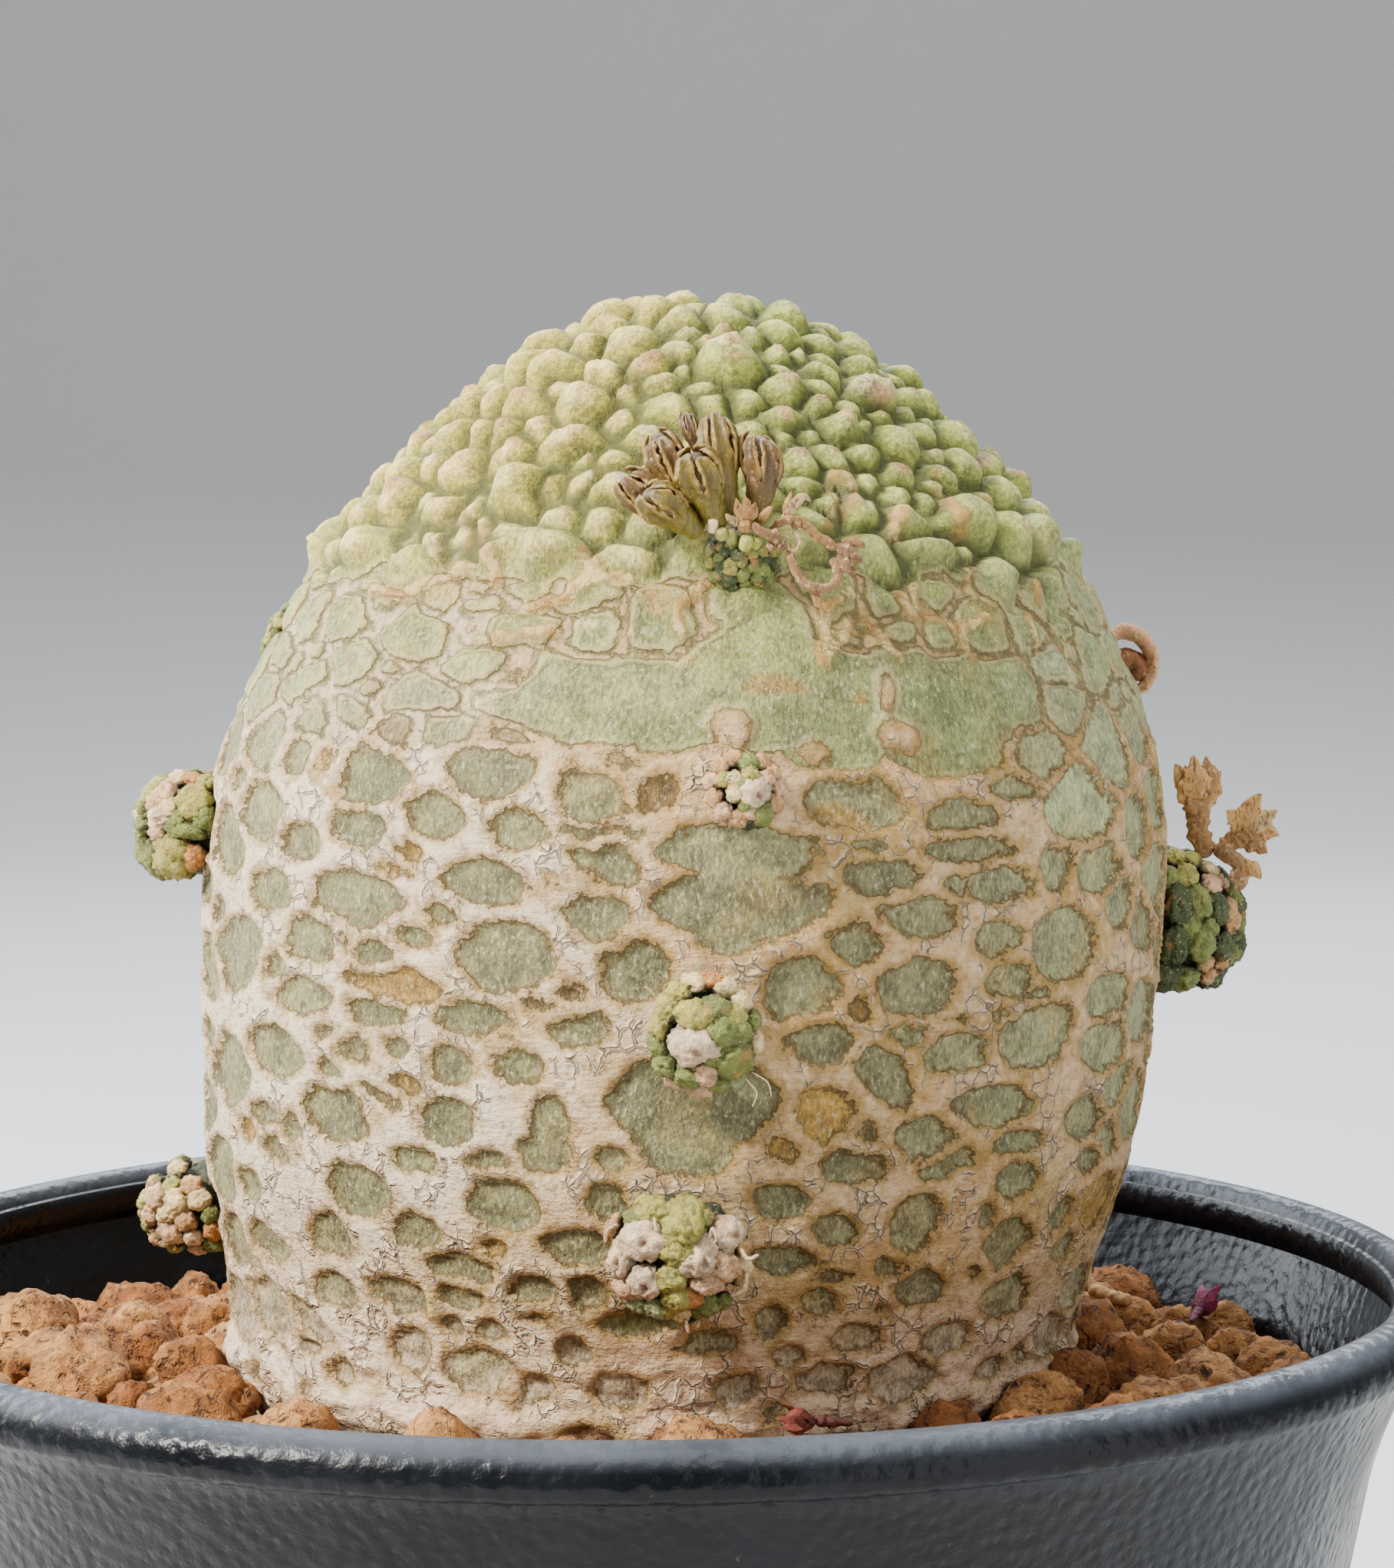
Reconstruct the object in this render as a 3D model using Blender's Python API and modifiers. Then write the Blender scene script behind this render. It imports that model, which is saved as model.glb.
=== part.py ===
"""A pseudolithos in a round black plastic pot.

The stem is a leafless dome, warty above and covered below by a raised corky net with
green islands. Knobbly flower cushions stand on it in four upright rows, a quarter turn
apart. It grows in a pot filled with grains of baked clay.

Metres, Z up. The origin is the middle of the pot's foot, and the front row faces -Y.
"""

import math
import random

import bmesh
import bpy
import numpy as np
from mathutils import Matrix, Vector
from mathutils.bvhtree import BVHTree
from mathutils.geometry import delaunay_2d_cdt

MM = 0.001
GAP = 0.3 * MM  # kept between pieces that touch

# The pot: a thin moulded wall that tapers to a foot ring and flares to a thick lip.
POT_HEIGHT = 82 * MM
RIM_RADIUS = 52.5 * MM
LIP_HEIGHT = 3.0 * MM
LIP_WIDTH = 3.4 * MM
LIP_ROUND = 0.8 * MM
LIP_DRAFT = 0.3 * MM  # how far the lip narrows towards its lower edge
LIP_SHOULDER = 0.4 * MM  # from the lip's rounding to its widest place
INNER_STEP = 1.0 * MM  # the small ledge inside, under the lip's crest
BEND_HEIGHT = 75 * MM  # a ring of points on the wall between the flare's start and the lip
FOOT_RADIUS = 33.8 * MM
WALL_TAPER = 0.197  # radius gained for each unit of height
FLARE_START = 70 * MM
FLARE_REACH = 1.7 * MM
WALL = 1.2 * MM
FLOOR_UNDERSIDE = 2.4 * MM
FLOOR_TOP = 4.2 * MM
FOOT_RING_WIDTH = 3.0 * MM
FOOT_ROUND = (0.6 * MM, 1.2 * MM)  # the foot's outer rounding, sideways and up
FOOT_DRAFT = 0.4 * MM
FLOOR_FILLET = 0.8 * MM
CENTRE_HOLE_RADIUS = 6 * MM
SIDE_HOLE_RADIUS = 3.5 * MM
SIDE_HOLE_CIRCLE = 20 * MM
SIDE_HOLES = 6
SIDE_HOLE_SIDES = 8
POT_SEGMENTS = 36

# The grains: a bed that is a little higher at the stem than at the wall, with loose grains on it.
BED_AT_STEM = 74.6 * MM
BED_AT_WALL = 72.0 * MM
GRAIN_SIZES = (4.1 * MM, 3.0 * MM)  # the largest and smallest half-widths
GRAIN_LIFT = 2.4 * MM
GRAIN_CORNERS = 6
GRAIN_SHOULDER = 0.6  # of the grain's half-width
BED_INSIDE = 25.5 * MM
LOOSE_GRAINS = 12
LOOSE_SIZE = 0.8
STEM_CLEARANCE = 26.5 * MM  # from the stem's axis to the nearest side of a loose grain
GRAIN_TRIES = 4000
GRAIN_SEED = 5

# The stem: heights and radii of its smooth outline, from the buried root end to the tip.
OUTLINE_MM = (
    (57.0, 0.0),
    (59.0, 9.0),
    (66.0, 19.5),
    (74.0, 25.2),
    (82.0, 27.2),
    (90.0, 29.1),
    (103.0, 30.0),
    (114.0, 29.4),
    (121.0, 26.8),
    (128.0, 22.9),
    (134.5, 17.2),
    (139.5, 11.4),
    (142.6, 5.6),
    (143.4, 0.0),
)
LEAN = 4.9 * MM  # how far the axis drifts to +X, most of it low down
LEAN_START = 66 * MM
LEAN_LENGTH = 28 * MM
ANGLED = 0.02  # the share by which the four angles stand out
ROW_TURN_DEG = 2.0  # the front row's turn from -Y, low down
ROW_TWIST_DEG = 0.1  # and what is added for each millimetre of height
ROW_TWIST_FROM = 87 * MM
GROUND = 74 * MM
SEAT_GRID = (80, 28)  # faces around and along the smooth stem that the cushions are cut by
HOLE_GRID = (POT_SEGMENTS, 20)  # and along the one that the grains are cut by

# Cells of the skin: warts above, islands in the net below.
WART_ZONE = (117 * MM, 128 * MM)  # the net gives way to warts between these heights
WART_HEIGHT = 0.75  # of the cell's radius
LARGEST_WART = 2.6 * MM
WART_SINK = 0.5 * MM  # how far the furrows between the warts lie under the smooth outline
NET_RISE = 0.55 * MM
ISLAND_EDGE = (0.15 * MM, 0.8 * MM)  # from the middle of the net to the island's floor
SHOULDER = 0.66  # of the way from a cell's middle to its edge, where its floor or dome bends down
CELL_SQUASH = 0.35  # cells below the warts are this much wider than tall
CELL_SIZES = (
    # least height, then the radii of the large and the middling cells
    (128 * MM, 2.7 * MM, 2.0 * MM),
    (117 * MM, 3.9 * MM, 2.9 * MM),
    (95 * MM, 3.8 * MM, 2.9 * MM),
    (74 * MM, 3.8 * MM, 2.9 * MM),
    (0 * MM, 7.0 * MM, 7.0 * MM),
)
CELL_TRIES = (2600, 5200)
CELL_SEED = 11

# Flower cushions: name, row (0 front, 1 right, 2 back, 3 left), height, half-width,
# half-height, how far they stand out, and the number of knobs.
CUSHIONS = (
    ("front_1", 0, 125.2, 2.7, 2.6, 2.6, 6),
    ("front_2", 0, 114.2, 2.5, 2.5, 2.1, 6),
    ("front_3", 0, 100.3, 3.4, 3.7, 3.2, 9),
    ("front_4", 0, 87.4, 4.6, 4.4, 3.4, 10),
    ("right_1", 1, 119.6, 1.6, 2.2, 2.2, 2),
    ("right_2", 1, 103.4, 3.8, 5.0, 5.8, 9),
    ("back_1", 2, 123.0, 2.5, 2.5, 2.2, 5),
    ("back_2", 2, 107.5, 3.1, 3.3, 2.9, 6),
    ("back_3", 2, 90.5, 3.8, 3.7, 3.2, 7),
    ("left_1", 3, 122.5, 1.5, 1.9, 1.2, 2),
    ("left_2", 3, 110.0, 3.3, 3.9, 4.6, 8),
    ("left_3", 3, 85.8, 3.3, 3.4, 4.9, 7),
)
FLOWERING = ("front_1", "right_2")
CURLED = "right_1"  # a withered flower scar, dried to a curl
KNOB_SIZE = 1.12  # of the cushion's half-width, shared out among its knobs
KNOB_TURN = math.radians(137.5)  # from each knob to the next, round the cushion
CORE_SIZE = 0.86  # of the cushion's half-width and half-height
CORE_STAND = 0.8  # of how far the cushion stands out
PLATE_DROP = 3.3 * MM  # a smooth plate lies this far below each cushion
PLATE_RADIUS = 4.0 * MM
BROAD_PLATE_HEIGHT = 118.6 * MM  # the wide smooth band under each top cushion
BROAD_PLATE_OFFSETS = (-9.0 * MM, 0.0, 9.0 * MM)
BROAD_PLATE_RADIUS = 5.0 * MM
BROAD_PLATE_NAME = 1000  # the name that a plate's cells share, plus their row

# Buds on the front top cushion. Each has its foot and its tip, in millimetres to the right,
# forward and up from the cushion's place on the skin.
BUDS_MM = (
    ((-2.4, 1.6, 1.9), (-5.3, 0.4, 8.2)),
    ((-0.7, 1.4, 2.4), (-1.8, 0.2, 9.3)),
    ((0.9, 1.5, 2.3), (1.0, 0.8, 8.0)),
    ((-1.3, 2.0, 2.0), (-3.2, 3.4, 6.8)),
    ((-2.5, 2.2, 1.6), (-5.8, 3.6, 4.3)),
    ((-2.7, 1.4, 1.9), (-7.0, 1.4, 5.2)),
)
BUD_SIDES = 10
BUD_RADII = (0.75 * MM, 1.25 * MM, 1.2 * MM)
BUD_LEVELS = (0.0, 0.7, 1.0)
BUD_CUP = 1.0 * MM
BUD_STOOL = ((-0.9, 1.4, 2.0), (2.5, 0.9, 0.9))  # the flat stool that they share: place and radii

# Withered flowers, as stalks that end in a ragged star. The points are in millimetres to the
# right, forward and up from a cushion's place on the skin.
DRIED_FRONT_MM = (
    ((2.6, 2.2, 1.6), (1.5, 2.9, 2.4), (0.5, 3.2, 3.2)),
    ((2.6, 2.2, 1.6), (3.6, 1.9, 2.1), (5.3, 1.9, 0.9), (6.8, 2.0, -0.1)),
    ((2.6, 2.2, 1.6), (2.9, 2.4, 0.2), (3.7, 2.4, -1.3), (5.2, 2.2, -1.7), (6.2, 2.0, -0.8)),
)
DRIED_RIGHT_MM = (
    ((4.0, 0.0, 4.9), (2.9, 0.1, 6.3), (2.8, 0.2, 8.6)),
    ((4.0, 0.0, 4.9), (5.4, 0.4, 5.1), (7.2, 0.6, 5.6)),
    ((4.0, 0.0, 4.9), (5.0, 1.6, 4.6), (6.3, 2.4, 3.6)),
)
STALK_RADIUS = 0.45 * MM
STAR_RADIUS = 0.7 * MM
PETAL_LENGTH = 1.4 * MM
PETALS = 3

CLAY = ("clay_grain", (0.62, 0.36, 0.16), 0.95, 0.0)
PLASTIC = ("black_plastic", (0.025, 0.027, 0.032), 0.45, 0.0)
SKIN = ("stem_skin", (0.50, 0.47, 0.30), 0.8, 0.0)
CUSHION_GREEN = ("cushion_green", (0.28, 0.36, 0.16), 0.75, 0.0)
BUD_OLIVE = ("bud_olive", (0.24, 0.19, 0.08), 0.65, 0.0)
DRIED = ("dried_flower", (0.58, 0.40, 0.27), 0.9, 0.0)
DRIED_CURL = ("dried_curl", (0.45, 0.29, 0.18), 0.85, 0.0)
FALLEN_DARK = ("fallen_flower_dark", (0.19, 0.05, 0.03), 0.9, 0.0)
FALLEN_MAGENTA = ("fallen_flower_magenta", (0.42, 0.06, 0.19), 0.8, 0.0)
FALLEN_STALK = ("fallen_stalk", (0.50, 0.34, 0.19), 0.9, 0.0)

# Flowers and a stub of stalk that have dropped on the grains: name, place to the right and
# forward of the pot's middle, turn, length, and finish.
FALLEN = (
    ("fallen_flower_front", (9.4, 31.6), 20, 2.6, FALLEN_DARK),
    ("fallen_flower_right", (38.0, -9.0), 70, 3.4, FALLEN_MAGENTA),
    ("fallen_stub_right", (34.6, -14.0), 140, 5.0, FALLEN_STALK),
)
FALLEN_FROM = POT_HEIGHT + 10 * MM


def clear_scene():
    for obj in list(bpy.data.objects):
        bpy.data.objects.remove(obj, do_unlink=True)


def new_collection(name):
    made = bpy.data.collections.new(name)
    bpy.context.scene.collection.children.link(made)
    return made


def material(name, colour, roughness, metallic):
    found = bpy.data.materials.get(name)
    if found:
        return found
    made = bpy.data.materials.new(name)
    made.use_nodes = True
    shader = made.node_tree.nodes["Principled BSDF"]
    shader.inputs["Base Color"].default_value = (*colour, 1)
    shader.inputs["Roughness"].default_value = roughness
    shader.inputs["Metallic"].default_value = metallic
    return made


def add_object(name, mesh, finish, collection):
    obj = bpy.data.objects.new(name, mesh)
    if finish:
        mesh.materials.append(material(*finish))
    collection.objects.link(obj)
    return obj


def hide_helper(obj):
    obj.hide_render = True
    obj.display_type = "WIRE"


def shade_smooth(obj, angle_deg=50):
    obj.data.shade_smooth()
    obj.data.set_sharp_from_angle(angle=math.radians(angle_deg))


def baked(obj):
    """Apply the object's modifiers to its mesh."""
    graph = bpy.context.evaluated_depsgraph_get()
    mesh = bpy.data.meshes.new_from_object(obj.evaluated_get(graph))
    obj.modifiers.clear()
    old = obj.data
    obj.data = mesh
    bpy.data.meshes.remove(old)
    return obj


def boolean(obj, operation, other, solver="EXACT"):
    """Cut or join another object, or all of a collection, and apply it."""
    modifier = obj.modifiers.new(operation.lower(), "BOOLEAN")
    modifier.operation = operation
    modifier.solver = solver
    if isinstance(other, bpy.types.Collection):
        modifier.operand_type = "COLLECTION"
        modifier.collection = other
    else:
        modifier.object = other
    return baked(obj)


def keep_main_body(obj):
    """Drop loose scraps and the walls of sealed hollows, which fusing and cutting can leave."""
    shape = bmesh.new()
    shape.from_mesh(obj.data)
    left = set(shape.faces)
    bodies = []
    while left:
        body = [left.pop()]
        for face in body:
            for edge in face.edges:
                for other in edge.link_faces:
                    if other in left:
                        left.remove(other)
                        body.append(other)
        bodies.append(body)
    main = max(bodies, key=lambda body: sum(face.calc_area() for face in body))
    kept = {vertex for face in main for vertex in face.verts}
    dropped = [vertex for vertex in shape.verts if vertex not in kept]
    bmesh.ops.delete(shape, geom=dropped, context="VERTS")
    shape.to_mesh(obj.data)
    shape.free()


def remove_objects(collection):
    for obj in list(collection.objects):
        bpy.data.objects.remove(obj, do_unlink=True)


def turned(name, profile, finish, collection, segments, closed):
    """Turn a profile of (radius, height) points, outer side first and downwards, about Z."""
    mesh = bpy.data.meshes.new(name)
    points = [(radius, 0, height) for radius, height in profile]
    edges = [(i, i + 1) for i in range(len(points) - 1)]
    if closed:
        edges.append((len(points) - 1, 0))
    mesh.from_pydata(points, edges, [])
    obj = add_object(name, mesh, finish, collection)
    screw = obj.modifiers.new("turn", "SCREW")
    screw.steps = segments
    screw.render_steps = segments
    screw.use_merge_vertices = True
    screw.merge_threshold = 0.01 * MM
    return baked(obj)


# Pot and grains


def outer_wall(height):
    flare = max(0.0, (height - FLARE_START) / (POT_HEIGHT - LIP_HEIGHT - FLARE_START))
    return FOOT_RADIUS + WALL_TAPER * height + FLARE_REACH * flare**1.6


def inner_wall(height):
    return outer_wall(height) - WALL


def make_pot(parts, cutters):
    lip_foot = POT_HEIGHT - LIP_HEIGHT
    ledge = RIM_RADIUS - LIP_WIDTH
    foot_side, foot_rise = FOOT_ROUND
    ring_inside = FOOT_RADIUS - FOOT_RING_WIDTH
    wall_heights = (BEND_HEIGHT, FLARE_START)
    profile = [
        (RIM_RADIUS - LIP_WIDTH / 2, POT_HEIGHT),
        (RIM_RADIUS - 0.3 * LIP_ROUND, POT_HEIGHT - 0.5 * LIP_ROUND),
        (RIM_RADIUS, POT_HEIGHT - LIP_ROUND - LIP_SHOULDER),
        (RIM_RADIUS - LIP_DRAFT, lip_foot),
        (outer_wall(lip_foot), lip_foot),
    ]
    profile += [(outer_wall(height), height) for height in wall_heights]
    profile += [
        (outer_wall(foot_rise), foot_rise),
        (FOOT_RADIUS - foot_side, 0),
        (ring_inside, 0),
        (ring_inside - FOOT_DRAFT, FLOOR_UNDERSIDE),
        (CENTRE_HOLE_RADIUS, FLOOR_UNDERSIDE),
        (CENTRE_HOLE_RADIUS, FLOOR_TOP),
        (inner_wall(FLOOR_TOP) - FLOOR_FILLET, FLOOR_TOP),
    ]
    profile += [(inner_wall(height), height) for height in reversed(wall_heights)]
    profile += [
        (inner_wall(lip_foot), lip_foot),
        (ledge - LIP_DRAFT, POT_HEIGHT - INNER_STEP),
        (ledge + LIP_SHOULDER, POT_HEIGHT - 0.8 * INNER_STEP),
    ]
    pot = turned("pot", profile, PLASTIC, parts, POT_SEGMENTS, closed=True)
    for number in range(SIDE_HOLES):
        angle = 2 * math.pi * number / SIDE_HOLES
        mesh = bpy.data.meshes.new("drain_cutter")
        shape = bmesh.new()
        bmesh.ops.create_cone(
            shape,
            cap_ends=True,
            segments=SIDE_HOLE_SIDES,
            radius1=SIDE_HOLE_RADIUS,
            radius2=SIDE_HOLE_RADIUS,
            depth=4 * FLOOR_TOP,
        )
        shape.to_mesh(mesh)
        shape.free()
        cutter = add_object("drain_cutter", mesh, None, cutters)
        cutter.location = (
            SIDE_HOLE_CIRCLE * math.cos(angle),
            SIDE_HOLE_CIRCLE * math.sin(angle),
            FLOOR_TOP,
        )
        hide_helper(cutter)
    bpy.context.view_layer.update()
    boolean(pot, "DIFFERENCE", cutters)
    remove_objects(cutters)
    shade_smooth(pot, 40)


def bed_height(radius):
    """The height of the bed of grains at a distance from the pot's middle."""
    wall = inner_wall(BED_AT_WALL)
    share = min(1.0, max(0.0, (radius - BED_INSIDE) / (wall - BED_INSIDE)))
    return BED_AT_STEM + share * (BED_AT_WALL - BED_AT_STEM)


def crowded_grains(draw):
    """Places and sizes of the grains at the top of the bed, which lie side by side."""
    grains = []
    for _ in range(GRAIN_TRIES):
        size = draw.uniform(*GRAIN_SIZES)
        angle = draw.uniform(0, 2 * math.pi)
        radius = math.sqrt(draw.uniform(BED_INSIDE**2, inner_wall(BED_AT_WALL) ** 2))
        place = Vector((radius * math.cos(angle), radius * math.sin(angle)))
        if all((place - grain[0]).length > 0.9 * (size + grain[1]) for grain in grains):
            tilt = Vector((draw.uniform(-0.35, 0.35), draw.uniform(-0.35, 0.35)))
            grains.append((place, size, tilt, draw.uniform(0.6, 1.1)))
    return grains


def bed_relief(place, grains):
    """How far the bed stands up at a place: the tilted round back of the grain that lies there."""
    nearest = min(grains, key=lambda grain: (place - grain[0]).length / grain[1])
    centre, size, tilt, lift = nearest
    away = (place - centre) / (1.2 * size)
    round_back = max(0.0, 1 - away.length_squared)
    return GRAIN_LIFT * lift * (round_back**0.7 + round_back * tilt.dot(away))


def bed_points(grains, draw):
    """Each grain's middle, a ring of corners on its shoulder, and the low points between grains."""
    middles = [grain[0] for grain in grains]
    meetings = delaunay_2d_cdt(middles, [], [], 0, 0.001 * MM)[2]
    points = list(middles)
    for face in meetings:
        points.append(sum((middles[index] for index in face), Vector((0, 0))) / len(face))
    for centre, size, *_ in grains:
        start = draw.uniform(0, 2 * math.pi)
        for number in range(GRAIN_CORNERS):
            angle = start + 2 * math.pi * number / GRAIN_CORNERS
            away = GRAIN_SHOULDER * size * draw.uniform(0.85, 1.15)
            points.append(centre + away * Vector((math.cos(angle), math.sin(angle))))
    return points


def bed_body(grains, draw):
    """The bed as a closed body: its lumpy top, and plain sides and underside inside the pot."""
    edge = inner_wall(BED_AT_WALL) - GAP
    turns = [2 * math.pi * number / POT_SEGMENTS for number in range(POT_SEGMENTS)]
    points = [Vector((edge * math.cos(turn), edge * math.sin(turn))) for turn in turns]
    rim = [(number, (number + 1) % POT_SEGMENTS) for number in range(POT_SEGMENTS)]
    points += [place for place in bed_points(grains, draw) if place.length < edge - 1.5 * MM]
    flat, _, faces = delaunay_2d_cdt(points, rim, [], 1, 0.001 * MM)[:3]
    shape = bmesh.new()
    for place in flat:
        height = bed_height(place.length)
        if place.length < edge - 0.1 * MM:
            height += bed_relief(place, grains)
        shape.verts.new((*place, height))
    shape.verts.ensure_lookup_table()
    for face in faces:
        shape.faces.new([shape.verts[index] for index in face])
    floor = FLOOR_TOP + GAP
    corner = inner_wall(floor) - FLOOR_FILLET
    lower = ((inner_wall(FLARE_START) - GAP, FLARE_START), (corner, floor))
    border = [item for item in shape.edges if item.is_boundary]
    for radius, height in lower:
        made = bmesh.ops.extrude_edge_only(shape, edges=border)["geom"]
        border = [item for item in made if isinstance(item, bmesh.types.BMEdge)]
        for vertex in {vertex for item in border for vertex in item.verts}:
            place = Vector(vertex.co[:2]).normalized() * radius
            vertex.co = (*place, height)
    bmesh.ops.holes_fill(shape, edges=border)
    bmesh.ops.recalc_face_normals(shape, faces=shape.faces)
    mesh = bpy.data.meshes.new("clay_grains")
    shape.to_mesh(mesh)
    shape.free()
    return mesh


def make_grains(parts, repeats, stem_hole):
    """The filling of the pot: a bed whose top is raised into grains, and loose grains on it."""
    draw = random.Random(GRAIN_SEED)
    crowded = crowded_grains(draw)
    grains = add_object("clay_grains", bed_body(crowded, draw), CLAY, parts)
    loose = []
    for _ in range(GRAIN_TRIES):
        size = draw.uniform(*GRAIN_SIZES) * LOOSE_SIZE
        angle = draw.uniform(0, 2 * math.pi)
        radius = math.sqrt(draw.uniform(BED_INSIDE**2, inner_wall(BED_AT_WALL) ** 2))
        place = Vector((radius * math.cos(angle), radius * math.sin(angle)))
        height = bed_height(radius) + GRAIN_LIFT
        from_stem = (place - Vector((stem_axis(height), 0))).length
        if from_stem < STEM_CLEARANCE + size or radius > inner_wall(height) - 1.2 * size:
            continue
        if len(loose) < LOOSE_GRAINS and all(
            (place - other).length > 1.7 * size for other in loose
        ):
            loose.append(place)
            loose_grain((*place, height), size, draw, repeats)
    bpy.context.view_layer.update()
    boolean(grains, "UNION", repeats, "MANIFOLD")
    remove_objects(repeats)
    boolean(grains, "DIFFERENCE", stem_hole, "MANIFOLD")
    keep_main_body(grains)
    shade_smooth(grains, 25)


def loose_grain(centre, size, draw, repeats):
    shape = bmesh.new()
    bmesh.ops.create_icosphere(shape, subdivisions=1, radius=size)
    for vertex in shape.verts:
        vertex.co *= draw.uniform(0.86, 1.08)
    turn = Matrix.Rotation(draw.uniform(0, 2 * math.pi), 4, draw_direction(draw))
    shape.transform(Matrix.Translation(centre) @ turn)
    mesh = bpy.data.meshes.new("grain")
    shape.to_mesh(mesh)
    shape.free()
    add_object("grain", mesh, None, repeats)


def draw_direction(draw):
    height = draw.uniform(-1, 1)
    angle = draw.uniform(0, 2 * math.pi)
    across = math.sqrt(1 - height * height)
    return Vector((across * math.cos(angle), across * math.sin(angle), height))


# Stem


def stem_axis(height):
    """How far the stem's axis lies towards +X at a height."""
    rise = np.maximum(0.0, np.asarray(height) - LEAN_START)
    return LEAN * (1 - np.exp(-rise / LEAN_LENGTH))


def outline_curve(samples=24):
    """The smooth outline as radii and heights, with the distance along it from the root end."""
    points = np.array([(radius, height) for height, radius in OUTLINE_MM]) * MM
    first, last = points[1] * (-1, 1), points[-2] * (-1, 1)
    points = np.vstack([first, points, last])
    share = np.linspace(0, 1, samples, endpoint=False)[:, None]
    stretches = []
    for a, b, c, d in zip(points, points[1:], points[2:], points[3:]):
        stretches.append(
            0.5
            * (
                2 * b
                + (c - a) * share
                + (2 * a - 5 * b + 4 * c - d) * share**2
                + (3 * b - a - 3 * c + d) * share**3
            )
        )
    curve = np.vstack([*stretches, points[-2:-1]])
    steps = np.linalg.norm(np.diff(curve, axis=0), axis=1)
    return curve[:, 0], curve[:, 1], np.concatenate([[0], np.cumsum(steps)])


STEM_OUTLINE = outline_curve()


def row_angle(row, height):
    """The direction of a row of cushions, in radians from +X, at a height."""
    turn = ROW_TURN_DEG + ROW_TWIST_DEG * (np.asarray(height) - ROW_TWIST_FROM) / MM
    return np.radians(-90 + 90 * row + turn)


def smooth_step(low, high, value):
    share = np.clip((value - low) / (high - low), 0, 1)
    return share * share * (3 - 2 * share)


def on_ball(angle, along):
    """The place on a unit ball that stands for a place on the stem."""
    polar = math.pi * np.asarray(along) / STEM_OUTLINE[2][-1]
    around = np.sin(polar)
    return np.stack([around * np.cos(angle), around * np.sin(angle), -np.cos(polar)], -1)


def off_ball(points):
    """The angle and the distance along the outline that a place on the unit ball stands for."""
    points = points / np.linalg.norm(points, axis=-1, keepdims=True)
    polar = np.arccos(np.clip(-points[..., 2], -1, 1))
    return np.arctan2(points[..., 1], points[..., 0]), polar / math.pi * STEM_OUTLINE[2][-1]


def smooth_stem(angle, along):
    """Points on the stem without its relief: round, with four blunt angles, and leaning."""
    radius, height = (np.interp(along, STEM_OUTLINE[2], curve) for curve in STEM_OUTLINE[:2])
    angled = radius * (1 + ANGLED * np.cos(4 * (angle - row_angle(0, height))))
    axis = stem_axis(height)
    return np.stack([angled * np.cos(angle) + axis, angled * np.sin(angle), height], -1)


def outward(angle, along):
    """The directions that the smooth stem faces at some places, from its outline's slope."""
    step = 0.05 * MM
    ahead = np.minimum(along + step, STEM_OUTLINE[2][-1])
    behind = np.maximum(along - step, 0)
    run, rise = (
        np.interp(ahead, STEM_OUTLINE[2], curve) - np.interp(behind, STEM_OUTLINE[2], curve)
        for curve in STEM_OUTLINE[:2]
    )
    facing = np.stack([rise * np.cos(angle), rise * np.sin(angle), -run], -1)
    facing[along >= STEM_OUTLINE[2][-1]] = (0, 0, 1)
    facing[along <= 0] = (0, 0, -1)
    return facing / np.linalg.norm(facing, axis=1)[:, None]


def spot_on_stem(row, height, sideways=0.0):
    """The angle and the distance along the outline of a spot beside a row of cushions."""
    radius, heights, along = STEM_OUTLINE
    place = np.interp(height, heights, along)
    return row_angle(row, height) + sideways / np.interp(place, along, radius), place


def surface_at(row, height, sideways=0.0):
    """A point on the smooth stem, sideways metres along it from a row."""
    return smooth_stem(*spot_on_stem(row, height, sideways))


def cell_space(points):
    """The space that cells are round in: heights below the warts count for more."""
    stretched = np.array(points, float)
    stretched[..., 2] += CELL_SQUASH * np.minimum(stretched[..., 2], WART_ZONE[1])
    return stretched


def skin_cells():
    """The skin's cells, drawn so that they crowd but hardly overlap: spots, centres, radii, names."""
    draw = random.Random(CELL_SEED)
    spots, radii, names = [], [], []
    for _, row, height, width, tall, _, _ in CUSHIONS:
        spots.append(spot_on_stem(row, height * MM))
        radii.append(max(width, tall) * MM)
        names.append(len(names))
        if height * MM < BROAD_PLATE_HEIGHT:
            spots.append(spot_on_stem(row, (height - tall) * MM - PLATE_DROP))
            radii.append(PLATE_RADIUS)
            names.append(len(names))
    for row in range(4):
        for sideways in BROAD_PLATE_OFFSETS:
            spots.append(spot_on_stem(row, BROAD_PLATE_HEIGHT, sideways))
            radii.append(BROAD_PLATE_RADIUS)
            names.append(BROAD_PLATE_NAME + row)
    centres = [cell_space(smooth_stem(*spot)) for spot in spots]
    radius, heights, along = STEM_OUTLINE
    area = np.concatenate([[0], np.cumsum(np.diff(along) * radius[1:])])
    for level, tries in enumerate(CELL_TRIES):
        for _ in range(tries):
            place = float(np.interp(draw.uniform(0, area[-1]), area, along))
            angle = draw.uniform(0, 2 * math.pi)
            height = float(np.interp(place, along, heights))
            sizes = next(row for row in CELL_SIZES if height >= row[0])
            size = sizes[1 + level] * draw.uniform(0.85, 1.12)
            centre = cell_space(smooth_stem(angle, place))
            apart = np.linalg.norm(np.array(centres) - centre, axis=1)
            if (apart > 0.93 * (np.array(radii) + size)).all():
                spots.append((angle, place))
                centres.append(centre)
                radii.append(size)
                names.append(len(names))
    return np.array(spots), np.array(centres), np.array(radii), np.array(names)


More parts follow.
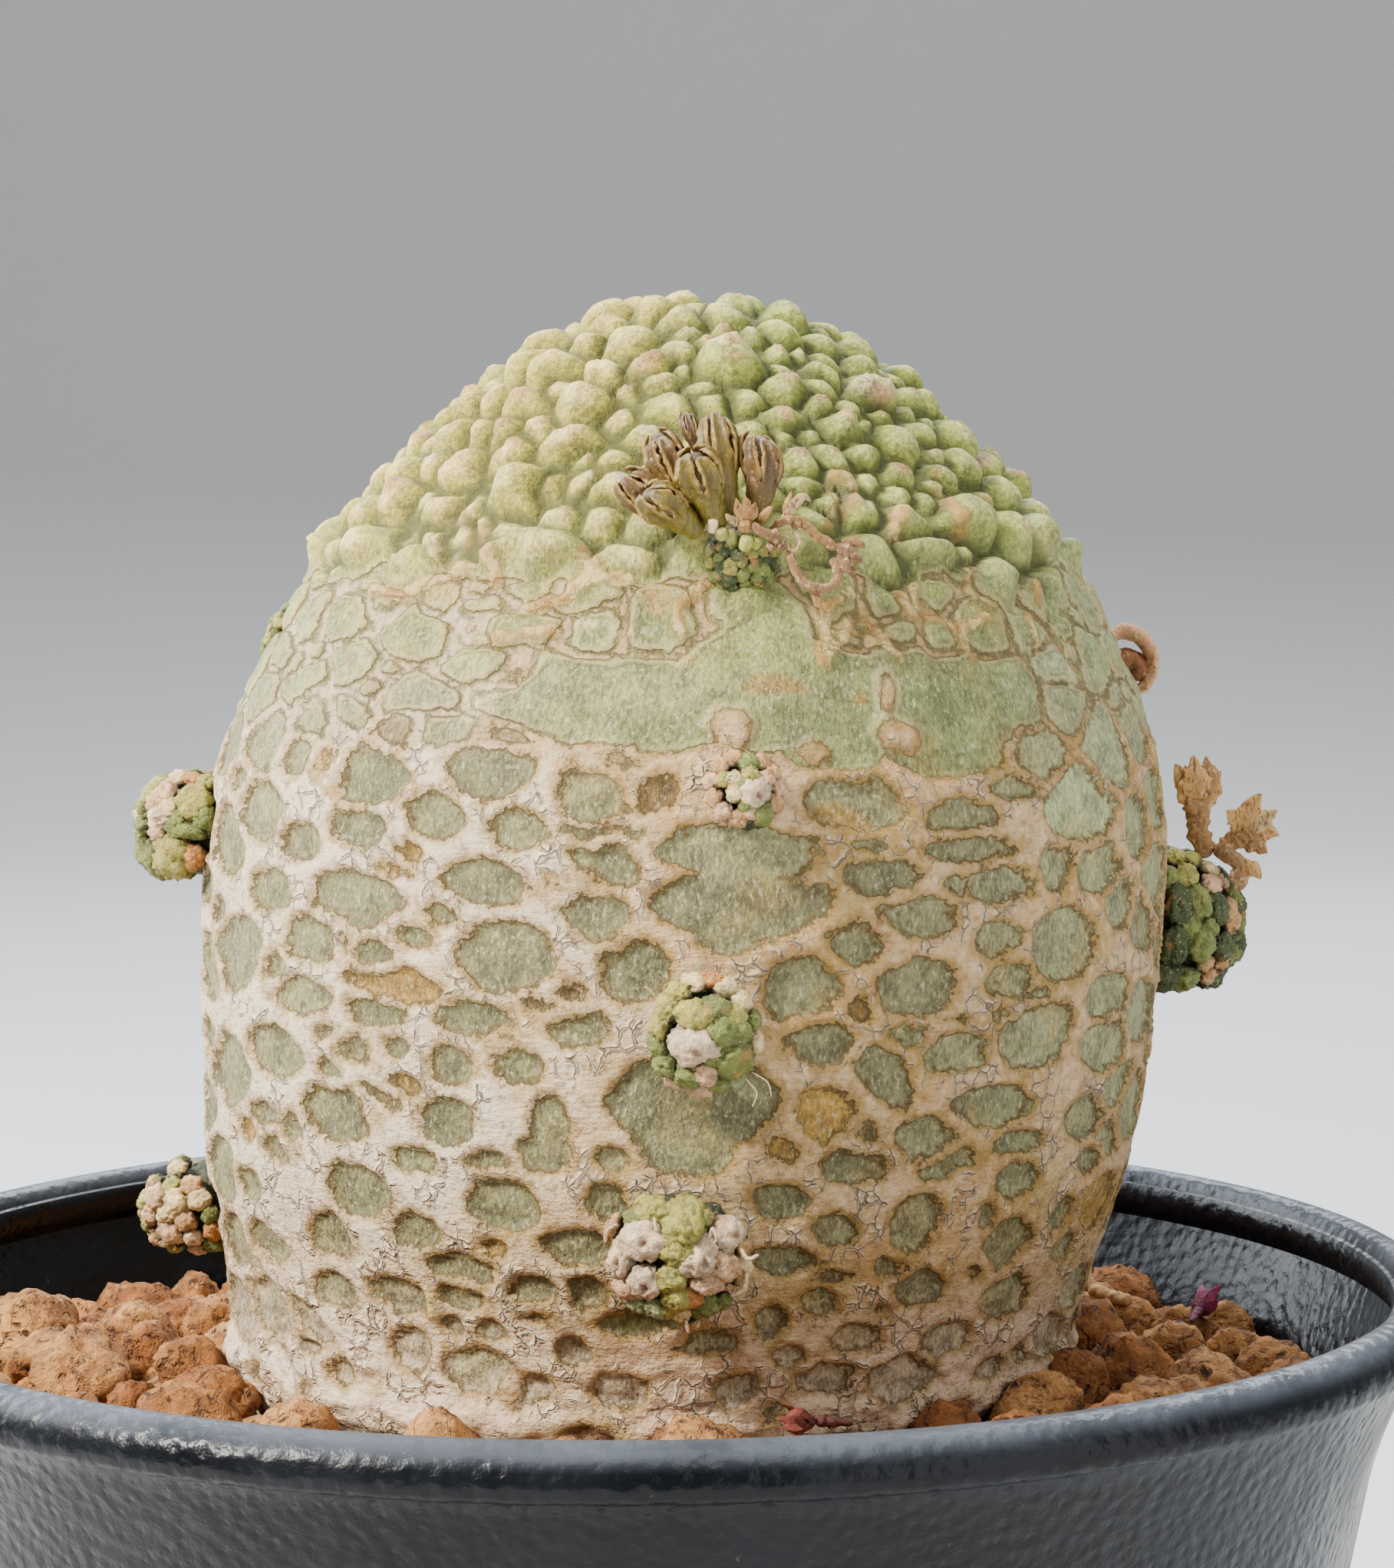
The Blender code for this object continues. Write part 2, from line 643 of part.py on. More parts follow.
def relief(points, cells):
    """How far the skin stands off the smooth stem: domed warts above, a raised net below."""
    _, centres, radii, names = cells
    apart = np.linalg.norm(cell_space(points)[:, None] - centres, axis=2) - radii
    nearest = np.argmin(apart, axis=1)
    first = apart.min(axis=1)
    second = np.where(names == names[nearest][:, None], np.inf, apart).min(axis=1)
    size = radii[nearest]
    from_edge = (second - first) / 2
    share = np.clip(from_edge / size, 0, 1)
    height = points[:, 2]
    wart = WART_HEIGHT * np.minimum(size, LARGEST_WART) * (1 - (1 - share) ** 2.2)
    net = NET_RISE * (1 - 2 * smooth_step(*ISLAND_EDGE, from_edge))
    upper = smooth_step(*WART_ZONE, height)
    clear = smooth_step(GROUND - 1.5 * MM, GROUND + 1.5 * MM, height)
    for _, row, middle, width, tall, _, _ in CUSHIONS:
        away = (points - surface_at(row, middle * MM)) / MM
        across = np.hypot(away[:, 0], away[:, 1])
        clear *= smooth_step(1.0, 1.3, np.hypot(across / width, away[:, 2] / tall))
    return clear * (upper * (wart - WART_SINK) + (1 - upper) * net)


def hull(points):
    """The faces that join points on the unit ball to their neighbours."""
    shape = bmesh.new()
    for point in points:
        shape.verts.new(point)
    shape.verts.index_update()
    bmesh.ops.convex_hull(shape, input=shape.verts)
    bmesh.ops.triangulate(shape, faces=shape.faces)
    return shape


def skin_points(cells):
    """Where the skin's mesh has its points, on the unit ball, so that its edges run as the net does.

    Each cell has a point in the middle and shoulders towards its neighbours, and there are
    points on the ridge between two cells and where three of them meet.
    """
    spots, centres, radii, _ = cells
    middles = on_ball(spots[:, 0], spots[:, 1])
    shape = hull(middles)
    points = list(middles)
    ridges = {}
    for edge in shape.edges:
        one, two = (vertex.index for vertex in edge.verts)
        if max(centres[one][2], centres[two][2]) < cell_space((0, 0, GROUND))[2]:
            continue
        apart = np.linalg.norm(centres[one] - centres[two])
        share = 0.5 + (radii[one] - radii[two]) / (2 * apart)
        ridge = middles[one] + share * (middles[two] - middles[one])
        ridges[edge.index] = ridge
        points.append(ridge)
        points.extend(ridge + (1 - SHOULDER) * (middles[end] - ridge) for end in (one, two))
    for face in shape.faces:
        sides = [ridges[edge.index] for edge in face.edges if edge.index in ridges]
        if len(sides) == 3:
            points.append(sum(sides) / 3)
    shape.free()
    return [point / np.linalg.norm(point) for point in points]


def stem_mesh(shape, offset, cells=None):
    """Reshape a unit ball's mesh to the stem, with the cells' relief on it and grown by offset."""
    places = off_ball(np.array([vertex.co for vertex in shape.verts]))
    smooth = smooth_stem(*places)
    stand_off = offset + (relief(smooth, cells) if cells else np.zeros(len(smooth)))
    for vertex, place in zip(shape.verts, smooth + outward(*places) * stand_off[:, None]):
        vertex.co = place
    loose = [vertex for vertex in shape.verts if not vertex.link_faces]
    bmesh.ops.delete(shape, geom=loose, context="VERTS")
    bmesh.ops.recalc_face_normals(shape, faces=shape.faces)
    mesh = bpy.data.meshes.new("stem")
    shape.to_mesh(mesh)
    shape.free()
    return mesh


def smooth_stem_mesh(grid, offset):
    shape = bmesh.new()
    bmesh.ops.create_uvsphere(shape, u_segments=grid[0], v_segments=grid[1], radius=1)
    return stem_mesh(shape, offset)


# Flower cushions, buds and dried flowers


def frame_at(row, height):
    """A matrix at a place on the stem: X sideways, Y up along the skin, Z straight out."""
    place = Vector(surface_at(row, height))
    above = Vector(surface_at(row, height + 0.5 * MM))
    level = Vector(surface_at(row, height, 0.5 * MM))
    sideways = (level - place).normalized()
    out = sideways.cross(above - place).normalized()
    up = out.cross(sideways)
    frame = Matrix((sideways, up, out)).transposed().to_4x4()
    frame.translation = place
    return frame


def ball(frame, centre, radii, grow, collection, level=1, turn=0.0):
    """A few-sided ellipsoid in a cushion's frame, made larger by grow on all sides."""
    shape = bmesh.new()
    bmesh.ops.create_icosphere(shape, subdivisions=level, radius=1)
    size = Matrix.Diagonal((*(radius + grow for radius in radii), 1))
    shape.transform(frame @ Matrix.Translation(centre) @ size @ Matrix.Rotation(turn, 4, "X"))
    mesh = bpy.data.meshes.new("ball")
    shape.to_mesh(mesh)
    shape.free()
    return add_object("ball", mesh, None, collection)


def cushion_body(name, spot, grow, seat, repeats, finish, parts):
    """Knobs crowded over a low core, fused into one body and left overlapping the stem."""
    _, row, height, width, tall, stand, knobs = spot
    draw = random.Random(row * 1000 + height)
    frame = frame_at(row, height * MM)
    width, tall, stand = width * MM, tall * MM, stand * MM
    core_radii = (CORE_SIZE * width, CORE_SIZE * tall, CORE_STAND * stand)
    core = ball(frame, (0, 0, 0), core_radii, grow, parts, level=2)
    core.name = name
    core.data.materials.append(material(*finish))
    for number in range(knobs):
        share = (number + 0.5) / knobs
        around = number * KNOB_TURN + draw.uniform(-0.2, 0.2)
        across = math.sqrt(share)
        centre = Vector(
            (
                0.8 * width * across * math.cos(around),
                0.8 * tall * across * math.sin(around),
                0.72 * stand * math.sqrt(max(0.05, 1 - 0.9 * share)),
            )
        )
        size = draw.uniform(0.85, 1.1) * KNOB_SIZE * min(width, tall) / math.sqrt(knobs)
        ball(frame, centre, (size, size, 0.9 * size), grow, repeats, turn=draw.uniform(0, 1.5))
    bpy.context.view_layer.update()
    boolean(core, "UNION", repeats, "MANIFOLD")
    remove_objects(repeats)
    boolean(core, "DIFFERENCE", seat, "MANIFOLD")
    keep_main_body(core)
    shade_smooth(core, 50)
    return core


def beside(place, offset_mm):
    """A point given in millimetres to the right, forward and up from a place."""
    right, forward, up = offset_mm
    return place + Vector((right, -forward, up)) * MM


def bud(foot, tip, repeats):
    """A club-shaped bud whose five petal tips stand round a hollow end."""
    shape = bmesh.new()
    length = (tip - foot).length
    rings = []
    for level, radius in zip(BUD_LEVELS, BUD_RADII):
        ring = []
        for side in range(BUD_SIDES):
            angle = 2 * math.pi * side / BUD_SIDES
            notch = level == 1.0 and side % 2
            reach = radius * (0.7 if notch else 1)
            lift = length * level - (0.5 * MM if notch else 0)
            ring.append(shape.verts.new((reach * math.cos(angle), reach * math.sin(angle), lift)))
        rings.append(ring)
    for lower, upper in zip(rings, rings[1:]):
        for side in range(BUD_SIDES):
            after = (side + 1) % BUD_SIDES
            shape.faces.new((lower[side], lower[after], upper[after], upper[side]))
    shape.faces.new(rings[0][::-1])
    middle = shape.verts.new((0, 0, length - BUD_CUP))
    for side in range(BUD_SIDES):
        shape.faces.new((rings[-1][side], rings[-1][(side + 1) % BUD_SIDES], middle))
    bmesh.ops.triangulate(shape, faces=shape.faces)
    turn = (tip - foot).to_track_quat("Z", "Y").to_matrix().to_4x4()
    shape.transform(Matrix.Translation(foot) @ turn)
    mesh = bpy.data.meshes.new("bud")
    shape.to_mesh(mesh)
    shape.free()
    add_object("bud", mesh, None, repeats)


def make_buds(name, place, cutters, repeats, parts):
    """The fresh buds, fused at the stool they spring from and cut clear of what carries them."""
    centre, radii = BUD_STOOL
    around = Matrix.Translation(beside(place, centre))
    buds = ball(around, (0, 0, 0), [radius * MM for radius in radii], 0, parts)
    buds.name = name
    buds.data.materials.append(material(*BUD_OLIVE))
    for foot, tip in BUDS_MM:
        bud(beside(place, foot), beside(place, tip), repeats)
    bpy.context.view_layer.update()
    boolean(buds, "UNION", repeats, "MANIFOLD")
    remove_objects(repeats)
    for cutter in cutters:
        boolean(buds, "DIFFERENCE", cutter, "MANIFOLD")
    keep_main_body(buds)
    shade_smooth(buds, 40)


def tube(points, radii, collection):
    """A tube through a few points, with a radius at each, as a closed mesh."""
    data = bpy.data.curves.new("tube", "CURVE")
    data.dimensions = "3D"
    data.bevel_depth = 1.0
    data.bevel_resolution = 0
    data.use_fill_caps = True
    spline = data.splines.new("POLY")
    spline.points.add(len(points) - 1)
    for target, point, radius in zip(spline.points, points, radii):
        target.co = (*point, 1)
        target.radius = radius
    curve = bpy.data.objects.new("tube", data)
    collection.objects.link(curve)
    graph = bpy.context.evaluated_depsgraph_get()
    graph.update()
    mesh = bpy.data.meshes.new_from_object(curve.evaluated_get(graph))
    bpy.data.objects.remove(curve, do_unlink=True)
    shape = bmesh.new()
    shape.from_mesh(mesh)
    bmesh.ops.remove_doubles(shape, verts=shape.verts, dist=0.01 * MM)
    bmesh.ops.recalc_face_normals(shape, faces=shape.faces)
    shape.to_mesh(mesh)
    shape.free()
    add_object("tube", mesh, None, collection)


def star(end, out, length, collection):
    """Shrivelled petals that spread from a stalk's end."""
    side = out.orthogonal().normalized()
    for number in range(PETALS):
        across = Matrix.Rotation(2 * math.pi * number / PETALS, 3, out) @ side
        tip = end + length * (0.75 * across + 0.65 * out)
        tube([end - 0.3 * MM * out, tip], [0.5 * MM, 0.25 * MM], collection)


def withered(name, stalks, finish, repeats, parts):
    """Stalks with a star at each end, fused into one body at the knot that they start from."""
    around = Matrix.Translation(stalks[0][0])
    knot = ball(around, (0, 0, 0), [1.9 * STALK_RADIUS] * 3, 0, parts)
    knot.name = name
    knot.data.materials.append(material(*finish))
    for points in stalks:
        radii = [STALK_RADIUS] * (len(points) - 1) + [STAR_RADIUS]
        tube(points, radii, repeats)
        star(points[-1], (points[-1] - points[-2]).normalized(), PETAL_LENGTH, repeats)
    bpy.context.view_layer.update()
    boolean(knot, "UNION", repeats, "MANIFOLD")
    remove_objects(repeats)
    return knot


def lay_down(obj, ground):
    """Lower a piece until it is a gap above the ground that lies under it."""
    tree = BVHTree.FromObject(ground, bpy.context.evaluated_depsgraph_get())
    drops = []
    for vertex in obj.data.vertices:
        _, _, _, distance = tree.ray_cast(vertex.co, Vector((0, 0, -1)))
        if distance is not None:
            drops.append(distance)
    obj.data.transform(Matrix.Translation((0, 0, GAP - min(drops))))


def make_fallen(name, place_mm, turn_deg, length_mm, finish, ground, repeats, parts):
    right, forward = place_mm
    start = Vector((right * MM, -forward * MM, FALLEN_FROM))
    out = Matrix.Rotation(math.radians(turn_deg), 3, "Z") @ Vector((1, 0, 0.1))
    points = [start, start + 0.5 * length_mm * MM * out, start + length_mm * MM * out]
    flower = withered(name, [points], finish, repeats, parts)
    lay_down(flower, ground)


def main():
    clear_scene()
    parts = new_collection("potted_pseudolithos")
    cutters = new_collection("cutters")
    repeats = new_collection("repeats")
    cells = skin_cells()
    points = skin_points(cells)

    make_pot(parts, cutters)

    hole = smooth_stem_mesh(HOLE_GRID, NET_RISE + 1.3 * GAP)
    stem_hole = add_object("stem_hole", hole, None, cutters)
    hide_helper(stem_hole)
    make_grains(parts, repeats, stem_hole)

    stem = add_object("stem", stem_mesh(hull(points), 0.0, cells), SKIN, parts)
    shade_smooth(stem, 60)
    stem_cutter = add_object("stem_cutter", stem_mesh(hull(points), GAP, cells), None, cutters)
    hide_helper(stem_cutter)
    seat = add_object("cushion_seat", smooth_stem_mesh(SEAT_GRID, 1.5 * GAP), None, cutters)
    hide_helper(seat)

    places, clearances = {}, {}
    for spot in CUSHIONS:
        finish = DRIED_CURL if spot[0] == CURLED else CUSHION_GREEN
        cushion_body("cushion_" + spot[0], spot, 0, seat, repeats, finish, parts)
        places[spot[0]] = Vector(surface_at(spot[1], spot[2] * MM))
        if spot[0] in FLOWERING:
            clearance = cushion_body("clear_" + spot[0], spot, GAP, seat, repeats, SKIN, cutters)
            hide_helper(clearance)
            clearances[spot[0]] = (stem_cutter, clearance)

    make_buds("buds_front_1", places["front_1"], clearances["front_1"], repeats, parts)
    for spot, stalks in (("front_1", DRIED_FRONT_MM), ("right_2", DRIED_RIGHT_MM)):
        routes = [[beside(places[spot], point) for point in stalk] for stalk in stalks]
        flowers = withered("dried_" + spot, routes, DRIED, repeats, parts)
        for cutter in clearances[spot]:
            boolean(flowers, "DIFFERENCE", cutter, "MANIFOLD")
        keep_main_body(flowers)
        shade_smooth(flowers, 40)

    grains = bpy.data.objects["clay_grains"]
    for fallen in FALLEN:
        make_fallen(*fallen, grains, repeats, parts)


main()
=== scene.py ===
"""The looks of a potted pseudolithos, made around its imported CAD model.

The plant is a leafless dome of succulent tissue, warty above and covered below by a raised
corky net with green islands. Knobbly flower cushions stand on it in four upright rows. It
grows in a round black plastic pot that is filled with grains of baked clay.

Places and sizes are in millimetres, and a mesh's points become metres where it is made.
"""

import math
import random

import bpy
import numpy as np
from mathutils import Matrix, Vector, noise


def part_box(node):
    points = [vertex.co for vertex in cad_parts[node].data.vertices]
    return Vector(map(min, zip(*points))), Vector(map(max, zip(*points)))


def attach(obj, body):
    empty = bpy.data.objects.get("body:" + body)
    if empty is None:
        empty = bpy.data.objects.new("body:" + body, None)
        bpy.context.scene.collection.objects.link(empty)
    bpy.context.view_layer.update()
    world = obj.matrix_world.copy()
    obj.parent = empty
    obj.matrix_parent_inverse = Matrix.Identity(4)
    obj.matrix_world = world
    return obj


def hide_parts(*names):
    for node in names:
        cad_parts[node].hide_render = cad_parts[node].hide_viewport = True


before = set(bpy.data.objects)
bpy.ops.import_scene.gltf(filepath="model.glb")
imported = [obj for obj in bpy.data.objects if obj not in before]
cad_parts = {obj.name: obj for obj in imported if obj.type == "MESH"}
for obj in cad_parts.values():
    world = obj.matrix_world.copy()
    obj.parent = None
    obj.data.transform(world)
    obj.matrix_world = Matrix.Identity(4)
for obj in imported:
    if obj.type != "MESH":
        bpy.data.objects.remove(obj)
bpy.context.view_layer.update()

MM = 0.001

# Camera
# It stands a quarter of a metre in front of the pot, about level with the flowers, and looks a
# little down on the plant.

CAMERA_PLACE_MM = (0.0, -246.184, 129.538)
CAMERA_DIP_DEG = 3.935
CAMERA_TURN_DEG = -1.041
CAMERA_LENS = 88.06

bpy.ops.object.camera_add(
    location=Vector(CAMERA_PLACE_MM) * MM,
    rotation=(math.radians(90 - CAMERA_DIP_DEG), 0, math.radians(CAMERA_TURN_DEG)),
)
camera = bpy.context.object
camera.name = "camera"
camera.data.lens = CAMERA_LENS
camera.data.clip_start = 0.01
bpy.context.scene.camera = camera

# Floor and light
# A plain pale sheet of studio paper that curves up behind the pot, with a soft light high on the
# left, weak ones above and on the right, broad cool ones behind that shine along the rim, and an
# even pale surround.

FLOOR_SIZE = 6.0
FLOOR_BACK = 1.2
PAPER_BEND = 0.9
PAPER_STEPS = 16
PAPER_TOP = 1.6
FLOOR_PAINT = (0.72, 0.72, 0.72, 1)
SURROUND = (0.86, 0.88, 0.90, 1)
SURROUND_STRENGTH = 0.42
# name, place, size of the lit square, watts, colour
LIGHTS = (
    ("key_light", (-0.40, -0.22, 0.48), 0.12, 9.5, (1.0, 0.95, 0.86)),
    ("fill_light", (0.50, -0.42, 0.26), 0.60, 2.4, (0.96, 0.97, 1.0)),
    ("top_light", (0.0, -0.15, 0.95), 0.70, 6.5, (0.94, 0.97, 1.0)),
    ("side_light", (-0.50, 0.34, 0.34), 0.50, 6.5, (0.86, 0.93, 1.0)),
    ("back_light", (0.10, 0.95, 0.95), 0.80, 19.0, (0.86, 0.93, 1.0)),
)
LIT_PLACE = Vector((0, 0, 105 * MM))


def add_node(tree, kind, inputs=None, **settings):
    """Adds a shader node. Its inputs are numbers, or sockets to link."""
    made = tree.nodes.new(kind)
    for name, value in settings.items():
        setattr(made, name, value)
    for name, value in (inputs or {}).items():
        if isinstance(value, bpy.types.NodeSocket):
            tree.links.new(value, made.inputs[name])
        else:
            made.inputs[name].default_value = value
    return made


def new_finish(name, roughness):
    """A material, its node tree, and the shader that the caller feeds."""
    finish = bpy.data.materials.new(name)
    finish.use_nodes = True
    shader = finish.node_tree.nodes["Principled BSDF"]
    shader.inputs["Roughness"].default_value = roughness
    return finish, finish.node_tree, shader


def object_millimetres(tree, stretch=(1, 1, 1)):
    """Object coordinates in millimetres, each divided by its stretch."""
    coordinates = add_node(tree, "ShaderNodeTexCoord")
    scale = [1000 / share for share in stretch]
    placed = {"Vector": coordinates.outputs["Object"], "Scale": scale}
    return add_node(tree, "ShaderNodeMapping", placed).outputs["Vector"]


def grain_of(tree, place, size, detail=3.0, roughness=0.55, distortion=0.0):
    """Soft random light and dark with features of about a size in millimetres."""
    inputs = {
        "Vector": place,
        "Scale": 1 / size,
        "Detail": detail,
        "Roughness": roughness,
        "Distortion": distortion,
    }
    return add_node(tree, "ShaderNodeTexNoise", inputs).outputs["Fac"]


def spread(tree, value, low, high, start=0.0, end=1.0):
    """The value from low to high, smoothly made to run from start to end."""
    inputs = {"Value": value, "From Min": low, "From Max": high, "To Min": start, "To Max": end}
    made = add_node(tree, "ShaderNodeMapRange", inputs, interpolation_type="SMOOTHSTEP")
    return made.outputs["Result"]


def sum_of(tree, *values):
    total = values[0]
    for value in values[1:]:
        made = add_node(tree, "ShaderNodeMath", {0: total, 1: value}, operation="ADD")
        total = made.outputs["Value"]
    return total


def times(tree, *values):
    product = values[0]
    for value in values[1:]:
        made = add_node(tree, "ShaderNodeMath", {0: product, 1: value}, operation="MULTIPLY")
        product = made.outputs["Value"]
    return product


def blend_colours(tree, share, first, second, how="MIX"):
    """The first colour where the share is 0, and the second where it is 1."""
    made = add_node(tree, "ShaderNodeMix", {0: share, 6: first, 7: second})
    made.data_type = "RGBA"
    made.blend_type = how
    return made.outputs[2]


def stand_out(tree, shader, height, distance_mm, strength=1.0):
    """Raises the finish by a height from 0 to 1, times a distance in millimetres."""
    inputs = {"Height": height, "Distance": distance_mm * MM, "Strength": strength}
    made = add_node(tree, "ShaderNodeBump", inputs)
    tree.links.new(made.outputs["Normal"], shader.inputs["Normal"])


def paint(red, green, blue):
    """A colour given as the eye sees it, 0 to 255, as the shader's own light values."""
    shares = [channel / 255 for channel in (red, green, blue)]
    light = [s / 12.92 if s <= 0.04045 else ((s + 0.055) / 1.055) ** 2.4 for s in shares]
    return (*light, 1.0)


bpy.ops.object.select_all(action="DESELECT")
bpy.ops.mesh.primitive_plane_add(size=FLOOR_SIZE, location=(0, FLOOR_BACK - FLOOR_SIZE / 2, 0))
floor = bpy.context.object
floor.name = "floor"
bpy.ops.object.transform_apply(location=True)
for corner in floor.data.vertices:
    corner.select = corner.co.y > 0
for edge_line in floor.data.edges:
    edge_line.select = all(floor.data.vertices[corner].select for corner in edge_line.vertices)
for face in floor.data.polygons:
    face.select = False
bpy.ops.object.mode_set(mode="EDIT")
bpy.ops.mesh.select_mode(type="EDGE")
bend = [0.5 * math.pi * step / PAPER_STEPS for step in range(PAPER_STEPS + 1)]
sheet = [(PAPER_BEND * math.sin(turn), PAPER_BEND * (1 - math.cos(turn))) for turn in bend]
sheet.append((PAPER_BEND, PAPER_BEND + PAPER_TOP))
for (back, rise), (next_back, next_rise) in zip(sheet, sheet[1:]):
    step = {"value": (0, next_back - back, next_rise - rise)}
    bpy.ops.mesh.extrude_region_move(TRANSFORM_OT_translate=step)
bpy.ops.mesh.select_all(action="SELECT")
bpy.ops.mesh.normals_make_consistent(inside=True)
bpy.ops.object.mode_set(mode="OBJECT")
bpy.ops.object.shade_smooth_by_angle(angle=math.radians(30))
floor_finish, tree, shader = new_finish("floor_paper", 0.85)
shader.inputs["Base Color"].default_value = FLOOR_PAINT
floor.data.materials.append(floor_finish)

world = bpy.data.worlds.new("studio")
world.use_nodes = True
world.node_tree.nodes["Background"].inputs["Color"].default_value = SURROUND
world.node_tree.nodes["Background"].inputs["Strength"].default_value = SURROUND_STRENGTH
bpy.context.scene.world = world

for name, place, size, watts, colour in LIGHTS:
    bpy.ops.object.light_add(type="AREA", location=place)
    lamp = bpy.context.object
    lamp.name = name
    lamp.data.size = size
    lamp.data.energy = watts
    lamp.data.color = colour
    lamp.visible_camera = False
    lamp.rotation_euler = (LIT_PLACE - Vector(place)).to_track_quat("-Z", "Y").to_euler()

# Pot
# A thin round nursery pot of black plastic, moulded in one piece with a thick lip, a foot ring
# and drain holes. Its wall has a fine leather grain, and dust from the clay lies on it. A pale
# sheen is painted along the top of the lip, as a painted reflection.

FLARE_START = 70
FLARE_END = 79
FOOT_RADIUS = 33.8
WALL_TAPER = 0.197
FLARE_REACH = 1.7
WALL = 1.2
FLOOR_TOP = 4.2
FLOOR_UNDERSIDE = 2.4
POT_SIDES = 224
DRAIN_HOLES = 6
DRAIN_RADIUS = 3.5
DRAIN_CIRCLE = 20
CENTRE_HOLE = 6.0
DRILL_MIDDLE = 3
DRILL_LENGTH = 8


def outer_wall(height):
    """The radius of the pot's outside at a height."""
    flare = max(0.0, (height - FLARE_START) / (FLARE_END - FLARE_START)) ** 1.6
    return FOOT_RADIUS + WALL_TAPER * height + FLARE_REACH * flare


def inner_wall(height):
    return outer_wall(height) - WALL


def select_only(*pieces):
    bpy.ops.object.select_all(action="DESELECT")
    for piece in pieces:
        piece.select_set(True)
    bpy.context.view_layer.objects.active = pieces[0]


def settle(piece):
    """Puts a finished piece's place and size into its mesh."""
    select_only(piece)
    bpy.ops.object.transform_apply(location=True, rotation=True, scale=True)


def turned(name, profile, sides):
    """A ring turned from a closed profile of radii and heights, by extruding a circle."""
    bpy.ops.object.select_all(action="DESELECT")
    radius, height = profile[0]
    bpy.ops.mesh.primitive_circle_add(
        vertices=sides, radius=radius * MM, location=(0, 0, height * MM)
    )
    piece = bpy.context.object
    piece.name = name
    settle(piece)
    bpy.ops.object.mode_set(mode="EDIT")
    bpy.ops.mesh.select_all(action="SELECT")
    for (radius, height), (wider, higher) in zip(profile, profile[1:] + profile[:1]):
        rise = {"value": (0, 0, (higher - height) * MM)}
        bpy.ops.mesh.extrude_region_move(TRANSFORM_OT_translate=rise)
        share = wider / radius
        bpy.ops.transform.resize(value=(share, share, 1), center_override=(0, 0, 0))
    bpy.ops.mesh.select_all(action="SELECT")
    bpy.ops.mesh.remove_doubles(threshold=0.002 * MM)
    bpy.ops.mesh.normals_make_consistent(inside=False)
    bpy.ops.object.mode_set(mode="OBJECT")
    return piece


def smooth_by_angle(piece, degrees):
    select_only(piece)
    bpy.ops.object.shade_smooth_by_angle(angle=math.radians(degrees))


def show(piece, finish, slot, *nodes):
    """Gives a piece its finish, hangs it from the root, and hides the CAD nodes it stands for."""
    piece.data.materials.clear()
    piece.data.materials.append(finish)
    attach(piece, "root")
    if nodes:
        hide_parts(*nodes)


lip_profile = [
    (49.3, 81.25), (49.5, 81.62), (49.8, 81.88), (50.3, 82.0), (51.04, 81.87), (51.68, 81.5),
    (52.06, 81.08), (52.34, 80.55), (52.46, 80.0), (52.42, 79.45), (52.2, 79.1), (51.9, 78.98),
    (51.35, 78.96),
]
wall_levels = [78.6, 77.5, 76, 74.5, 73, 71.5, 70, 60, 45, 30, 15, 4, 1.2]
outside = [(outer_wall(height), height) for height in wall_levels]
foot = [(33.75, 0.5), (33.3, 0.08), (32.9, 0), (31.1, 0), (30.8, 0.1), (30.6, 0.5)]
underside = [(30.4, 2.2), (30.1, FLOOR_UNDERSIDE), (CENTRE_HOLE + 0.3, FLOOR_UNDERSIDE)]
underside += [(CENTRE_HOLE + 0.05, 2.6), (CENTRE_HOLE, 4.0), (CENTRE_HOLE + 0.2, FLOOR_TOP)]
inside = [(inner_wall(FLOOR_TOP) - 0.8, FLOOR_TOP), (inner_wall(5.2), 5.2)]
inside += [(inner_wall(height), height) for height in (15, 30, 45, 60, 70, 72, 74, 76, 77.5)]
ledge = [(49.5, 78.5), (49.15, 79.1), (48.85, 79.6), (48.75, 80.6), (48.95, 80.95), (49.2, 81.05)]
pot = turned("black_pot", lip_profile + outside + foot + underside + inside + ledge, POT_SIDES)

drills = []
for number in range(DRAIN_HOLES):
    turn = 2 * math.pi * number / DRAIN_HOLES
    place = Vector((math.cos(turn), math.sin(turn), 0)) * DRAIN_CIRCLE
    bpy.ops.object.select_all(action="DESELECT")
    place = (place + Vector((0, 0, DRILL_MIDDLE))) * MM
    bpy.ops.mesh.primitive_cylinder_add(
        vertices=32, radius=DRAIN_RADIUS * MM, depth=DRILL_LENGTH * MM, location=place
    )
    drills.append(bpy.context.object)
select_only(*drills)
bpy.ops.object.join()
drill = bpy.context.object
select_only(pot)
bore = pot.modifiers.new("drain_holes", "BOOLEAN")
bore.operation = "DIFFERENCE"
bore.object = drill
bpy.ops.object.modifier_apply(modifier=bore.name)
bpy.data.objects.remove(drill)
smooth_by_angle(pot, 38)

black_plastic, tree, shader = new_finish("black_plastic", 0.4)
shader.inputs["Specular IOR Level"].default_value = 0.2
place = object_millimetres(tree)
wander = add_node(
    tree,
    "ShaderNodeTexVoronoi",
    {"Vector": place, "Scale": 1 / 0.85, "Randomness": 1.0},
    feature="SMOOTH_F1",
)
pebble = wander.outputs["Distance"]
haze = grain_of(tree, place, 9.0, detail=4)
fine = grain_of(tree, place, 0.35, detail=2)
blacks = blend_colours(tree, spread(tree, haze, 0.35, 0.7), paint(5, 7, 11), paint(15, 17, 23))
dust = spread(tree, grain_of(tree, place, 1.1, detail=5, roughness=0.7), 0.68, 0.76)
dust_and_sheen = blend_colours(tree, times(tree, dust, 0.5), blacks, paint(120, 108, 92))
upward = add_node(tree, "ShaderNodeSeparateXYZ", {0: place}).outputs["Z"]
